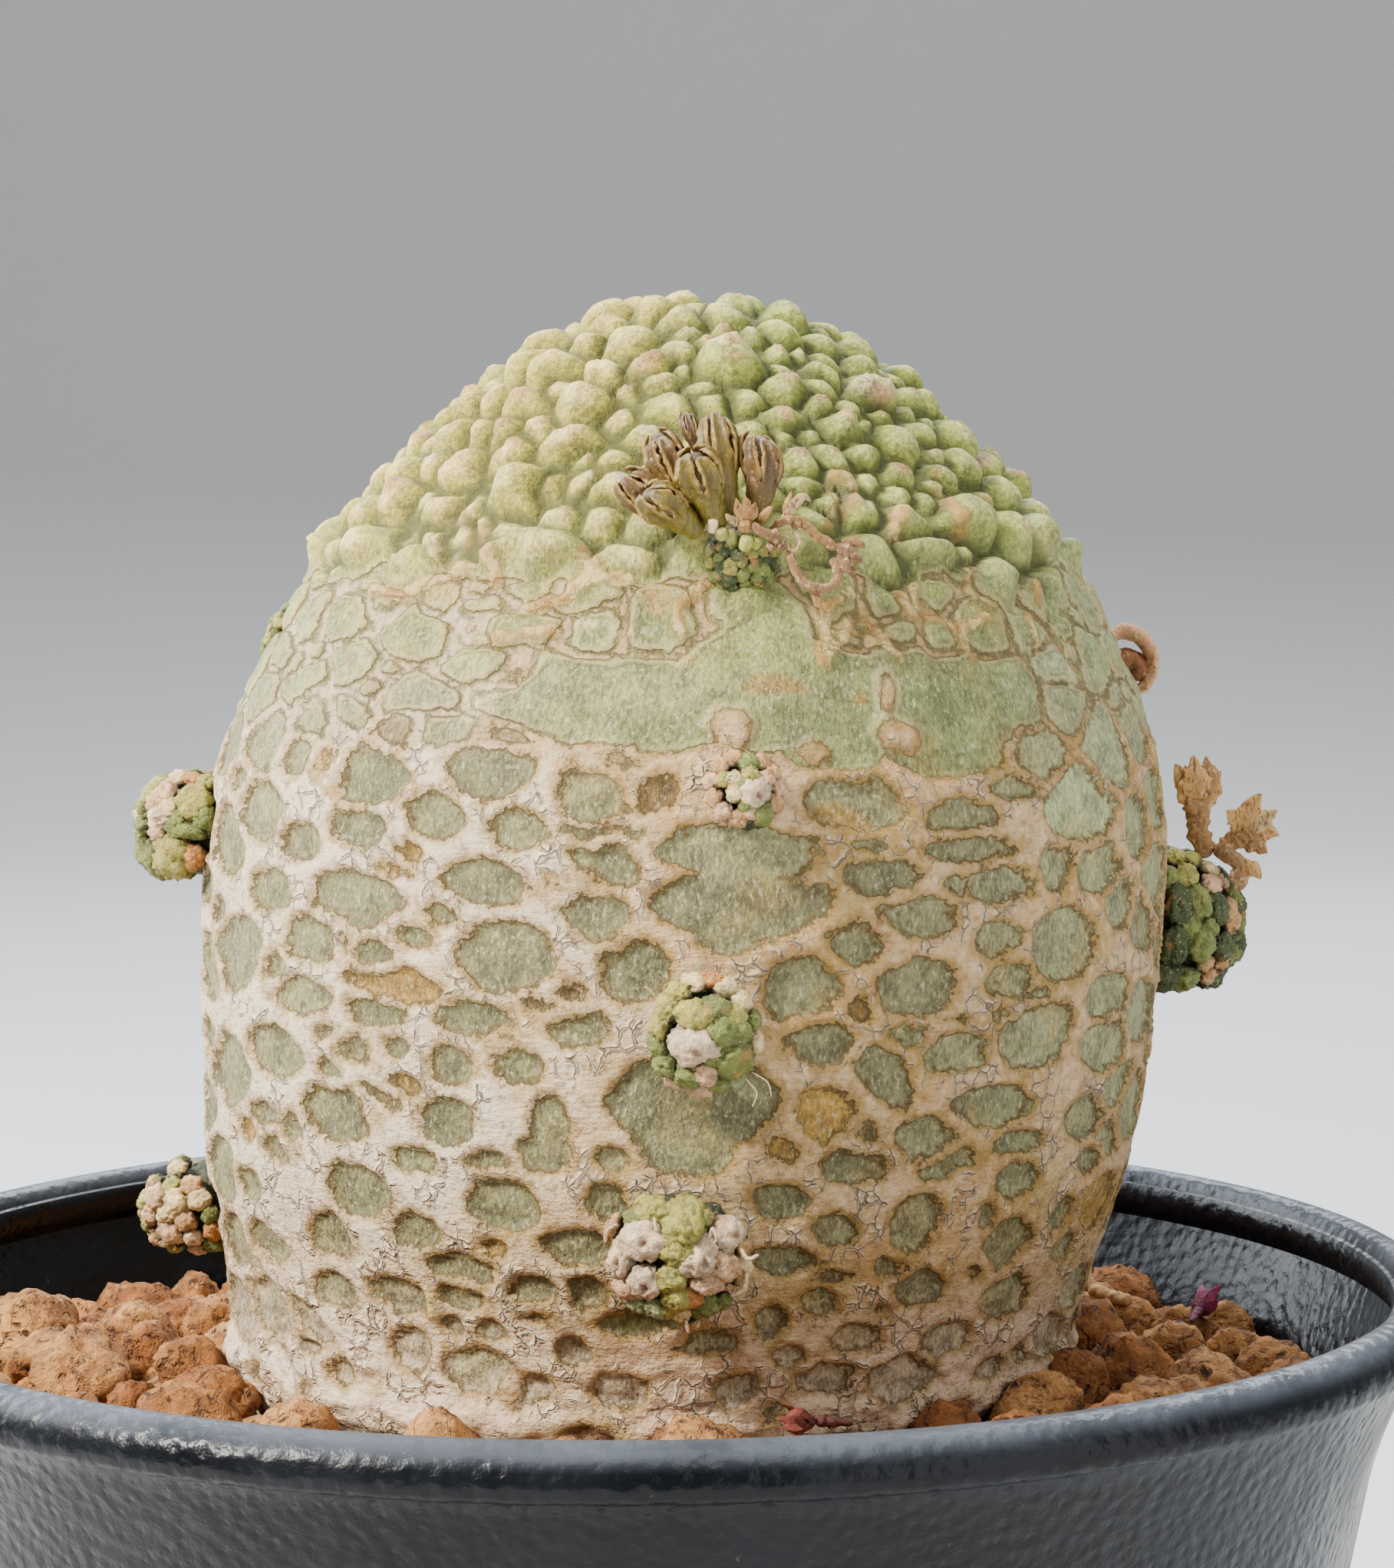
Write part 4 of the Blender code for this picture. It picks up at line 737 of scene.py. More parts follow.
# Marks on the skin: side, height, half-width, half-height, and how far they stand up.
MARKS = {
    "cream": (
        (-0.5, 139.6, 1.0, 0.9, 0.25), (-12.2, 139.0, 0.9, 0.7, 0.2), (-17.0, 138.6, 0.6, 0.6, 0.2),
        (-19.6, 138.4, 0.6, 0.7, 0.2), (-19.4, 136.9, 0.9, 0.8, 0.15),
        (-18.8, 134.8, 1.3, 0.7, 0.1), (-28.3, 136.9, 0.7, 0.7, 0.2), (-31.0, 132.6, 0.9, 1.1, 0.1),
        (19.6, 137.4, 0.5, 0.8, 0.3), (6.4, 133.7, 0.6, 0.6, 0.0), (3.2, 142.4, 1.3, 0.5, 0.25),
        (1.0, 141.4, 0.6, 0.4, 0.1), (-17.0, 119.0, 1.2, 1.5, 0.3), (-21.0, 128.4, 1.4, 0.7, 0.2),
        (-10.8, 123.3, 0.6, 0.4, 0.3), (-8.1, 122.8, 0.6, 0.4, 0.3), (9.3, 130.8, 0.7, 0.5, 0.2),
    ),
    "pink": (
        (-19.0, 136.7, 0.8, 0.7, 0.1), (-17.2, 134.6, 0.7, 0.7, 0.1), (-32.8, 135.1, 0.7, 0.6, 0.2),
        (21.8, 136.9, 1.0, 0.6, 0.2), (13.6, 135.4, 0.5, 0.6, 0.25), (17.3, 132.6, 0.5, 0.35, 0.1),
        (-28.2, 130.3, 1.0, 0.7, 0.1), (-22.6, 129.5, 0.6, 0.5, 0.2), (-11.9, 138.7, 0.6, 0.6, 0.1),
        (35.5, 133.6, 0.7, 1.0, 0.1), (28.5, 128.4, 0.4, 0.7, 0.2), (-2.0, 142.6, 0.9, 0.7, 0.2),
    ),
    "ochre": (
        (1.7, 119.9, 2.0, 0.5, 0.0), (7.3, 119.0, 0.6, 0.3, 0.0), (-3.7, 121.7, 0.5, 0.4, 0.0),
        (5.4, 112.4, 2.6, 0.9, 0.0), (0.9, 138.4, 0.5, 0.35, 0.05), (13.9, 133.6, 0.35, 0.6, 0.05),
        (22.6, 132.3, 0.8, 0.5, 0.0), (-13.6, 135.7, 0.5, 0.4, 0.0), (-23.2, 135.5, 0.8, 0.5, 0.0),
        (-17.6, 131.8, 0.4, 0.6, 0.1), (19.8, 128.6, 0.7, 0.6, 0.0), (-6.3, 125.0, 0.8, 1.2, 0.0),
        (31.0, 138.6, 0.9, 0.5, 0.1), (-41.5, 122.8, 0.5, 1.3, 0.0), (-23.0, 125.2, 1.2, 0.5, 0.0),
        (-24.6, 121.3, 1.0, 0.5, 0.0),
    ),
    "cork": (
        (-0.8, 117.5, 1.1, 1.3, 0.2), (9.8, 117.0, 1.3, 1.0, 0.2), (4.2, 116.4, 0.8, 0.6, 0.1),
        (9.2, 119.4, 0.45, 1.0, 0.1),
    ),
    "green": (
        (0.3, 124.9, 0.9, 0.9, 0.5), (-2.0, 83.2, 2.4, 0.9, 0.0), (1.1, 82.4, 1.8, 0.9, 0.0),
        (-12.8, 80.0, 2.1, 1.4, 0.0),
    ),
    "brown": (
        (-21.3, 131.5, 0.9, 0.5, -0.1), (-27.3, 130.1, 0.5, 0.7, 0.0),
        (-28.0, 126.3, 0.6, 0.4, -0.15), (10.4, 130.4, 0.4, 0.3, -0.1),
        (-30.0, 121.2, 0.6, 0.5, 0.0),
    ),
}
# Raised pale ridges between the plates: half-width, then the sides and heights they run by.
RIDGES = (
    (0.45, (-2.8, 126.1), (-4.9, 124.0), (-4.1, 123.0)),
    (0.6, (-8.7, 126.1), (-10.6, 126.3), (-13.2, 124.7), (-15.4, 124.4)),
    (0.45, (-12.2, 127.5), (-10.6, 126.5)),
    (0.4, (-18.5, 122.6), (-12.8, 122.9)),
    (0.35, (7.8, 125.2), (5.4, 124.4), (5.5, 122.9), (4.7, 121.7), (5.2, 121.2), (6.5, 122.6)),
    (0.35, (6.5, 122.6), (7.0, 123.7)),
    (0.4, (8.1, 123.9), (9.8, 122.5), (10.4, 121.6)),
    (0.4, (11.7, 125.6), (12.4, 124.1), (14.6, 123.6), (16.3, 123.2), (18.9, 123.6)),
    (0.35, (16.3, 123.2), (16.6, 121.4)),
    (0.35, (13.0, 125.8), (12.9, 124.3)),
    (0.4, (19.9, 126.9), (18.7, 126.0), (18.8, 125.1), (20.2, 124.3)),
    (0.4, (26.3, 125.6), (26.0, 124.3)),
    (0.4, (23.8, 123.7), (24.0, 122.1)),
    (0.5, (15.0, 130.1), (12.3, 129.2), (12.2, 128.3)),
    (0.45, (20.9, 131.2), (19.9, 130.0), (20.1, 129.3)),
    (0.45, (7.6, 131.3), (9.2, 132.1), (10.5, 131.8), (10.0, 130.5), (7.5, 129.6), (6.9, 129.3)),
    (0.55, (-24.0, 127.6), (-23.0, 128.6), (-21.2, 128.6), (-19.8, 127.2), (-19.0, 126.0)),
    (0.5, (-31.0, 125.2), (-27.0, 124.9), (-23.6, 126.2), (-21.6, 127.0)),
    (0.4, (-24.6, 129.2), (-26.4, 129.6), (-27.0, 128.4), (-25.2, 126.9)),
    (0.4, (-16.7, 83.0), (-16.9, 84.6)),
)


def pigment(*rgb):
    """A paint as three numbers, to be mixed point by point."""
    return np.array(paint(*rgb)[:3])


def paint_box(**tones):
    return {name: pigment(*rgb) for name, rgb in tones.items()}


def tinted(colour, other, share):
    """Colours that go over to another by each point's share."""
    return colour + (other - colour) * share[:, None]


DENT_PAINT = pigment(126, 86, 62)
SKIN_PAINTS = paint_box(
    grey=(136, 131, 88), ochre=(165, 128, 55), brown=(112, 84, 42), pale=(165, 170, 120),
    plate=(130, 136, 78), wart=(152, 160, 64), cream=(228, 208, 160), pink=(214, 166, 124),
    cork=(200, 152, 98), green=(116, 138, 58),
)


def spots_of(islands, tone, first_name):
    rows = []
    for name, group in enumerate(islands):
        for side, height, wide, tall, *tilt in group if isinstance(group[0], tuple) else [group]:
            angle, along = skin_spot(side, height)
            rows.append((angle, along, wide, tall, *(tilt or [0]), first_name + name, tone))
    return rows


def skin_cells():
    """All cells of the skin: those read off the front, then drawn ones that fill the rest."""
    rows = spots_of(PLATES, "plate", 0)
    rows += spots_of(GREY_ISLANDS, "grey", 100)
    rows += spots_of(OCHRE_ISLANDS, "ochre", 300)
    rows += spots_of(BROWN_ISLANDS, "brown", 350)
    rows += spots_of(PALE_ISLANDS, "pale", 400)
    rows += spots_of(WARTS, "wart", 500)
    draw = random.Random(CELL_SEED)
    centres = [smooth_stem(row[0], row[1]) for row in rows]
    sizes = [math.sqrt(row[2] * row[3]) for row in rows]
    area = np.concatenate([[0], np.cumsum(np.diff(outline_along) * outline_radius[1:])])
    for tries, smallness in DRAWN_TRIES:
        for _ in range(tries):
            along = float(np.interp(draw.uniform(0, area[-1]), area, outline_along))
            angle = draw.uniform(0, 2 * math.pi)
            height = float(np.interp(along, outline_along, outline_height))
            side = (angle - float(row_angle(0, height)) + math.pi) % (2 * math.pi) - math.pi
            on_front = abs(side * GIRTH_RADIUS) < READ_SIDE
            if height < GROUND - 4 or on_front and READ_LEVELS[0] < height < READ_LEVELS[1]:
                continue
            if height > DRAWN_WARTS_FROM:
                tone, size, gap, squash = "wart", 1.5, 0.0, 1.0
                if smallness < 0.5:
                    continue
            elif height > DRAWN_PLATES_FROM:
                tone, size, gap, squash = "plate", 2.1, 0.1, 1.15
            else:
                tone, size, gap, squash = "grey", 2.3, 0.8, 1.3
            size *= smallness * draw.uniform(0.75, 1.15)
            centre = smooth_stem(angle, along)
            apart = np.linalg.norm(np.array(centres) - centre, axis=1)
            if (apart > 0.9 * (np.array(sizes) + size) + gap).all():
                if tone == "grey" and draw.random() < 0.14:
                    tone = draw.choice(("ochre", "brown"))
                wide, tall = size * squash, size / squash
                name = 1000 + len(rows)
                rows.append((angle, along, wide, tall, draw.uniform(-18, 18), name, tone))
                centres.append(centre)
                sizes.append(size)
    return rows


def cell_borders(points, cells):
    """For each point: its nearest cell, how far it is outside that cell, and from a border."""
    angle, along, wide, tall, tilt, names = (
        np.array([row[column] for row in cells], float) for column in range(6)
    )
    centres, level, up, out = skin_frame(angle, along)
    cosine, sine = np.cos(np.radians(tilt))[:, None], np.sin(np.radians(tilt))[:, None]
    level, up = level * cosine + up * sine, up * cosine - level * sine
    mean = np.sqrt(wide * tall)
    nearest = np.empty(len(points), int)
    first, between = np.empty(len(points)), np.empty(len(points))
    for start in range(0, len(points), 6000):
        some = slice(start, start + 6000)
        across = (points[some] @ level.T - np.sum(centres * level, 1)) / wide
        upward = (points[some] @ up.T - np.sum(centres * up, 1)) / tall
        outward = (points[some] @ out.T - np.sum(centres * out, 1)) / mean
        away = (np.sqrt(across**2 + upward**2 + outward**2) - 1) * mean
        nearest[some] = away.argmin(1)
        first[some] = away.min(1)
        away[names == names[nearest[some]][:, None]] = np.inf
        between[some] = (away.min(1) - first[some]) / 2
    return nearest, first, between


def skin_noise(points, size, seed=0.0):
    """Smooth random numbers from about -1 to 1, with features of a size in millimetres."""
    shift = Vector((seed, 2 * seed, 3 * seed))
    return np.array([noise.noise(Vector(point) / size + shift) for point in points])


def from_ellipse(points, side, height, wide, tall):
    """How far points are outside an ellipse on the skin, as a share of its size, less 1."""
    centre, level, up, out = skin_frame(*skin_spot(side, height))
    away = points - centre
    mean = math.sqrt(wide * tall)
    across, upward, outward = away @ level / wide, away @ up / tall, away @ out / mean
    return np.sqrt(across**2 + upward**2 + outward**2) - 1


def from_line(points, route):
    """The distance from points to a line along the skin."""
    stops = [smooth_stem(*skin_spot(side, height)) for side, height in route]
    nearest = np.full(len(points), np.inf)
    for start, end in zip(stops, stops[1:]):
        share = np.clip((points - start) @ (end - start) / np.sum((end - start) ** 2), 0, 1)
        gap = np.linalg.norm(points - start - share[:, None] * (end - start), axis=1)
        nearest = np.minimum(nearest, gap)
    return nearest


bpy.ops.object.select_all(action="DESELECT")
bpy.ops.mesh.primitive_uv_sphere_add(segments=STEM_SIDES, ring_count=STEM_RINGS, radius=1)
stem = bpy.context.object
stem.name = "stem_skin"
ball = np.empty(len(stem.data.vertices) * 3, np.float32)
stem.data.vertices.foreach_get("co", ball)
ball = ball.reshape(-1, 3).astype(float)
level_share = np.arccos(np.clip(-ball[:, 2], -1, 1)) / math.pi
ground_along = float(np.interp(GROUND - 1, outline_height, outline_along))
buried_share = BURIED_RINGS / STEM_RINGS
stops = [0, buried_share, 1], [0, ground_along, outline_along[-1]]
along = np.interp(level_share, *stops)
turn = np.arctan2(ball[:, 1], ball[:, 0])
facing_front = float(row_angle(0, 105))
back_turn = turn - (facing_front + math.pi)
angle = turn + FRONT_SHARE * np.sin(back_turn)
skin, level, up, out = skin_frame(angle, along)
height = skin[:, 2]
side = (angle - row_angle(0, height) + math.pi) % (2 * math.pi) - math.pi
side *= GIRTH_RADIUS

wave = [skin_noise(skin, WAVE_SIZE, seed) for seed in (3.0, 9.0)]
ripple = [skin_noise(skin, RIPPLE_SIZE, seed) for seed in (5.0, 7.0)]
waver = 0.42 * wave[0] + 0.2 * ripple[0]
climb = 0.34 * wave[1] + 0.16 * ripple[1]
warped = skin + waver[:, None] * level + climb[:, None] * up
cells = skin_cells()
nearest, first, between = cell_borders(warped, cells)

crowded = smooth_step(*PLATE_START, height + 1.2 * wave[0])
swell = skin_noise(skin, SWELL_SIZE, 11.0)
warty = smooth_step(*WART_START, height + 1.6 * wave[1] + 4 * swell)
strand = 0.5 - 0.26 * crowded
right_side = smooth_step(14, 26, side) * smooth_step(88, 96, height)
inside = first - 0.25 - 0.55 * right_side - 2.2 * crowded
edge = np.maximum(inside, strand - 0.12 * right_side - between)
edge += 1.1 * smooth_step(79.0, 76.0, height + 1.5 * wave[1])
domes = smooth_step(0.05, 0.3, warty)
edge = edge * (1 - domes) - 1.5 * domes
mean_size = np.array([math.sqrt(row[2] * row[3]) for row in cells])[nearest]

netted = NET_RISE * (2 * smooth_step(-0.3, 0.3, edge) - 1) + 0.12 * smooth_step(0.0, -1.2, edge)
plated = 0.45 * (1 - (1 - np.clip(between / 2, 0, 1)) ** 2) - 0.2
ring = np.exp(-(((edge + 0.4) / 0.3) ** 2))
netted += (plated * 1.25 + 0.16 * ring - netted) * crowded
netted += 0.22 * swell + 0.1 * wave[0] + 0.06 * ripple[0]
folds = np.sin((height + 1.5 * wave[1]) * 2 * math.pi / FOLD_SPACING)
folds = folds * smooth_step(84, 77, height)
collar = np.exp(-(((height - COLLAR_LEVEL + 0.8 * wave[0]) / 1.2) ** 2))
netted += 0.16 * folds + 0.55 * collar
share = np.clip(between / mean_size, 0, 1)
round_share = 1 - np.clip((first / mean_size + 1) / 1.3, 0, 1) ** 2
domed = 0.6 * (1 - (1 - share) ** 2.6) + 0.4 * round_share
domed = WART_RISE * np.minimum(mean_size, LARGEST_WART) * domed - 0.7 + 0.16 * ripple[0]
rise = netted * (1 - domes) + domed * domes

ridge = np.full(len(skin), 9.0)
for half_width, *route in RIDGES:
    ridge = np.minimum(ridge, from_line(warped, route) - RIDGE_SHARE * half_width)
rise += RIDGE_RISE * smooth_step(0.4, -0.4, ridge + 0.3 * ripple[1])

colour = np.array([SKIN_PAINTS[row[6]] for row in cells])[nearest]
young = smooth_step(119, 134, height + 2.2 * wave[0] + 3 * swell)
above = np.array([row[6] in ("plate", "wart") for row in cells])[nearest]
blended = tinted(SKIN_PAINTS["plate"], SKIN_PAINTS["wart"], young)
colour = np.where(above[:, None], blended, colour)
draw = random.Random(CELL_SEED + 1)
lightness = np.array([draw.uniform(0.84, 1.16) for _ in cells])[nearest]
colour = colour * lightness[:, None]
# Painted shade: the warts are darkened towards the furrows between them.
colour *= (1 - 0.34 * domes * smooth_step(0.5, 0.0, share))[:, None]
for tone, marks in MARKS.items():
    for mark_side, mark_height, wide, tall, stand in marks:
        away = from_ellipse(warped, mark_side, mark_height, wide, tall)
        cover = smooth_step(0.25, -0.2, away)
        rise += stand * cover
        colour = tinted(colour, SKIN_PAINTS[tone], 0.85 * cover)
        if tone == "cork":
            edge = np.maximum(edge, -away * min(wide, tall))
scarred = {}
for number, row in enumerate(cells):
    if row[6] == "wart" and draw.random() < SCARRED_SHARE:
        tone = draw.choice(("cream", "cork", "cream", "cork", "ochre"))
        size = 0.42 * row[2] * draw.uniform(0.6, 1.3)
        centre = smooth_stem(row[0] + 0.2 * row[2] / GIRTH_RADIUS, row[1] + 0.3 * row[3])
        away = np.linalg.norm(warped - centre, axis=1) / size - 1
        cover = smooth_step(0.3, -0.3, away)
        rise += 0.14 * cover - 0.16 * smooth_step(-0.35, -0.8, away)
        scarred[number] = (size, centre, tone)

# The sun-facing left side is painted paler, yellower and chalkier: partly real sun bleaching,
# partly painted light from the left. Below the plates its far left is painted a little darker.
lit_and_bleached_side = smooth_step(-0.1, 0.95, -np.cos(angle - 0.35))
bleached = pigment(216, 204, 160)
yellowed_and_lit = pigment(196, 178, 74)
lit_crown_right = pigment(208, 208, 122)
lit_crown_left = pigment(246, 214, 132)
colour = tinted(colour, bleached, 0.16 * lit_and_bleached_side * crowded * (1 - warty))
colour *= (1 - 0.2 * lit_and_bleached_side * (1 - crowded) * smooth_step(-33, -22, side))[:, None]
colour = tinted(colour, SKIN_PAINTS["pale"], 0.45 * right_side * (1 - warty))
colour = tinted(colour, yellowed_and_lit, 0.6 * lit_and_bleached_side * young)
# The tops of the warts are painted paler: partly their own pale tips, partly a painted highlight,
# strongest on the lit left.
lit_crown = tinted(lit_crown_right, lit_crown_left, lit_and_bleached_side)
colour = tinted(colour, lit_crown, 0.7 * domes * smooth_step(0.3, 0.9, share))
for size, centre, tone in scarred.values():
    away = np.linalg.norm(warped - centre, axis=1) / size - 1
    colour = tinted(colour, SKIN_PAINTS[tone], 0.85 * smooth_step(0.25, -0.25, away))
    colour = tinted(colour, DENT_PAINT, 0.35 * smooth_step(-0.45, -0.85, away))
stained = smooth_step(0.1, 0.65, skin_noise(skin, 4.0, 51.0) + 0.35 * ripple[0]) * (1 - warty)
colour = tinted(colour, pigment(170, 138, 62), 0.4 * stained * (1 - lit_and_bleached_side))

strand_paint = pigment(198, 165, 118)
orange_paint = pigment(188, 142, 76)
olive_paint = pigment(160, 136, 64)
young_paint = pigment(220, 190, 136)
chalk_and_lit_paint = pigment(230, 214, 186)
bark_paint = pigment(216, 186, 160)
tan = smooth_step(-0.1, 0.6, skin_noise(skin, 6.5, 21.0) + 0.3 * wave[0])
mossy = smooth_step(0.0, 0.6, skin_noise(skin, 5.0, 33.0) + 0.3 * wave[1])
low = smooth_step(86, 79, height + 1.5 * wave[0])
net_colour = tinted(strand_paint, orange_paint, 0.6 * tan)
net_colour = tinted(net_colour, olive_paint, 0.6 * mossy)
net_colour = tinted(net_colour, young_paint, crowded * (0.4 + 0.3 * lit_and_bleached_side))
# On the lit left the strands are painted chalk-pale, partly bleaching and partly painted light.
chalky_and_lit = smooth_step(0.4, 1.0, lit_and_bleached_side + 0.3 * wave[0] + 0.3 * swell)
net_colour = tinted(net_colour, chalk_and_lit_paint, 0.8 * chalky_and_lit)
net_colour = tinted(net_colour, bark_paint, 0.75 * low * (1 - 0.7 * lit_and_bleached_side))
colour = tinted(colour, bark_paint, 0.5 * low)

buried = smooth_step(GROUND + 1, GROUND - 3, height)
rise = rise * (1 - buried)
skin_points = (skin + rise[:, None] * out) * MM
stem.data.vertices.foreach_set("co", skin_points.astype(np.float32).ravel())
stem.data.update()


def keep_number(mesh, name, values):
    attribute = mesh.attributes.new(name, "FLOAT", "POINT")
    attribute.data.foreach_set("value", np.asarray(values, np.float32))


def keep_colour(mesh, name, values):
    attribute = mesh.attributes.new(name, "FLOAT_COLOR", "POINT")
    four = np.ones((len(values), 4), np.float32)
    four[:, :3] = np.clip(values, 0, 1)
    attribute.data.foreach_set("color", four.ravel())


keep_number(stem.data, "edge", np.clip(edge, -2, 2))
keep_number(stem.data, "ridge", np.clip(ridge, -2, 2))
keep_number(stem.data, "furrow_shade", between + 0.55 * (1 - domes))
keep_number(stem.data, "warty", warty)
keep_number(stem.data, "crowded", crowded * (1 - warty))
keep_colour(stem.data, "body", colour)
keep_colour(stem.data, "strands", net_colour)
select_only(stem)
bpy.ops.object.shade_smooth()

stem_skin, tree, shader = new_finish("stem_skin", 0.72)
place = object_millimetres(tree)


def kept(tree, name, output="Fac"):
    return add_node(tree, "ShaderNodeAttribute", attribute_name=name).outputs[output]


def shaded(tree, colour, level):
    """A colour made lighter or darker by a level around 1."""
    grey = add_node(tree, "ShaderNodeCombineColor", {0: level, 1: level, 2: level})
    return blend_colours(tree, 1.0, colour, grey.outputs["Color"], "MULTIPLY")


warts_here = kept(tree, "warty")
plain_skin = spread(tree, warts_here, 0.0, 1.0, 1.0, 0.0)
plates_here = kept(tree, "crowded")
fringe = times(tree, sum_of(tree, grain_of(tree, place, 0.5, 4, 0.65), -0.5), 1.4)
lobes = times(tree, sum_of(tree, grain_of(tree, place, 1.5, 2, 0.5), -0.5), 0.9)
calm = spread(tree, plates_here, 0.0, 1.0, 1.0, 0.35)
ragged = times(tree, sum_of(tree, fringe, lobes), calm)
border = sum_of(tree, kept(tree, "edge"), ragged)
on_net = spread(tree, border, -0.06, 0.1)

upright = object_millimetres(tree, (1, 1, 1.9))
level_lines = object_millimetres(tree, (3.5, 3.5, 1))
strokes = grain_of(tree, upright, 0.24, 4, 0.65)
soft = grain_of(tree, place, 1.7, 4, 0.6)
grainy = grain_of(tree, place, 0.3, 4, 0.7)
stroked = blend_colours(tree, plain_skin, grainy, strokes)
flesh = kept(tree, "body", "Color")
light_and_dark = sum_of(
    tree,
    0.42,
    times(tree, spread(tree, stroked, 0.4, 0.62), 0.5),
    times(tree, spread(tree, soft, 0.36, 0.64), 0.42),
)
flesh = shaded(tree, flesh, light_and_dark)
flecks = spread(tree, grain_of(tree, upright, 0.26, 3, 0.7), 0.57, 0.63)
flesh = blend_colours(tree, times(tree, flecks, plain_skin, 0.42), flesh, paint(212, 204, 164))
specks = spread(tree, grain_of(tree, place, 0.42, 3, 0.7), 0.4, 0.32)
flesh = blend_colours(tree, times(tree, specks, 0.5), flesh, paint(84, 78, 34))

strands = kept(tree, "strands", "Color")
corky = grain_of(tree, place, 0.8, 5, 0.68)
light_cork = spread(tree, corky, 0.5, 0.66, 0.0, 0.55)
strands = blend_colours(tree, light_cork, strands, paint(232, 202, 160))
dark_cork = spread(tree, corky, 0.48, 0.34, 0.0, 0.6)
strands = blend_colours(tree, dark_cork, strands, paint(142, 98, 52))
on_islands = spread(tree, plates_here, 0.0, 1.0, 1.0, 0.65)
halo = times(tree, spread(tree, border, 0.75, 0.12), spread(tree, soft, 0.3, 0.52, 0.35, 1.0))
strands = blend_colours(tree, times(tree, halo, 0.78, on_islands), strands, paint(150, 116, 46))

stray = add_node(tree, "ShaderNodeTexNoise", {"Vector": place, "Scale": 0.9}).outputs["Color"]
bent = add_node(tree, "ShaderNodeVectorMath", {0: place, 1: stray}, operation="ADD").outputs[0]
splits = add_node(
    tree, "ShaderNodeTexVoronoi", {"Vector": bent, "Scale": 0.85}, feature="DISTANCE_TO_EDGE"
).outputs["Distance"]
broken = spread(tree, grain_of(tree, place, 2.6, 3), 0.5, 0.58)
where = times(tree, broken, spread(tree, border, 0.15, 0.55), plain_skin)
# The cracks are painted dark, as painted shade in them, and the raised edge beside them pale, as a
# painted highlight.
shaded_crack = times(tree, spread(tree, splits, 0.05, 0.012), where)
lip = times(tree, spread(tree, splits, 0.2, 0.05), where)
strands = blend_colours(tree, times(tree, lip, 0.55), strands, paint(238, 216, 180))
strands = blend_colours(tree, times(tree, shaded_crack, 0.75), strands, paint(92, 64, 40))
lines = grain_of(tree, level_lines, 0.22, 3, 0.6)
lined = spread(tree, lines, 0.42, 0.34, 0.0, 0.4)
strands = blend_colours(tree, lined, strands, paint(120, 84, 48))

skin_colour = blend_colours(tree, on_net, flesh, strands)
rims = times(tree, spread(tree, border, -0.7, -0.2), spread(tree, border, 0.0, -0.14))
rims = times(tree, rims, plates_here)
skin_colour = blend_colours(tree, times(tree, rims, 0.4), skin_colour, paint(222, 200, 140))
outline = times(tree, spread(tree, border, -0.32, -0.06), spread(tree, border, 0.12, 0.0))
gaps = spread(tree, grain_of(tree, place, 2.0, 3), 0.4, 0.55)
outline = times(tree, outline, plain_skin, on_islands, sum_of(tree, 0.35, times(tree, gaps, 0.5)))
skin_colour = blend_colours(tree, outline, skin_colour, paint(98, 76, 30))
from_ridge = sum_of(tree, kept(tree, "ridge"), times(tree, fringe, 0.9), times(tree, lobes, 0.5))
beside_ridge = times(tree, spread(tree, from_ridge, 0.4, 0.05), 0.6)
skin_colour = blend_colours(tree, beside_ridge, skin_colour, paint(122, 104, 44))
pale_ridge, tan_ridge = paint(212, 186, 118), paint(172, 130, 64)
ridge_paint = blend_colours(tree, spread(tree, soft, 0.4, 0.6), pale_ridge, tan_ridge)
ridge_share = spread(tree, from_ridge, 0.08, -0.14, 0.0, 0.92)
skin_colour = blend_colours(tree, ridge_share, skin_colour, ridge_paint)
# Painted shade: the furrows between the warts are painted dark olive.
furrow_shade = times(tree, spread(tree, kept(tree, "furrow_shade"), 0.5, 0.08), 0.85)
skin_colour = blend_colours(tree, furrow_shade, skin_colour, paint(70, 74, 28))
tree.links.new(skin_colour, shader.inputs["Base Color"])

pebbled = grain_of(tree, place, 0.45, 4, 0.6)
skin_height = sum_of(
    tree,
    times(tree, stroked, 0.5, spread(tree, on_net, 0.0, 1.0, 1.0, 0.3)),
    times(tree, pebbled, 0.4),
    times(tree, lip, 0.5),
    times(tree, shaded_crack, -1.3),
    times(tree, corky, on_net, 0.7),
    times(tree, lines, on_net, 0.35),
    times(tree, spread(tree, border, -0.2, 0.2), plates_here, 0.8),
    times(tree, rims, 0.9),
)
stand_out(tree, shader, skin_height, 0.36)
show(stem, stem_skin, "stem_skin", "stem")

# Flower cushions
# Each is a lasting knobbly head of tiny branch tips that stands on the skin of an angle, and
# flowers from it year after year. Old flower stalks have left smooth pale scars on its knobs.

# name, row, height, half-width, half-height and stand-out
CUSHIONS = (
    ("front_1", 0, 127.0, 2.1, 1.9, 2.4),
    ("front_2", 0, 114.2, 2.8, 2.8, 2.6),
    ("front_3", 0, 100.7, 3.4, 3.7, 3.2),
    ("front_4", 0, 87.8, 4.6, 4.4, 3.4),
    ("right_2", 1, 103.4, 3.8, 5.0, 5.8),
    ("back_1", 2, 123.0, 2.5, 2.5, 2.2),
    ("back_2", 2, 107.5, 3.1, 3.3, 2.9),
    ("back_3", 2, 90.5, 3.8, 3.7, 3.2),
    ("left_1", 3, 122.5, 1.3, 1.8, 0.5),
    ("left_2", 3, 110.0, 3.3, 3.9, 4.6),
    ("left_3", 3, 85.8, 3.3, 3.4, 4.9),
)
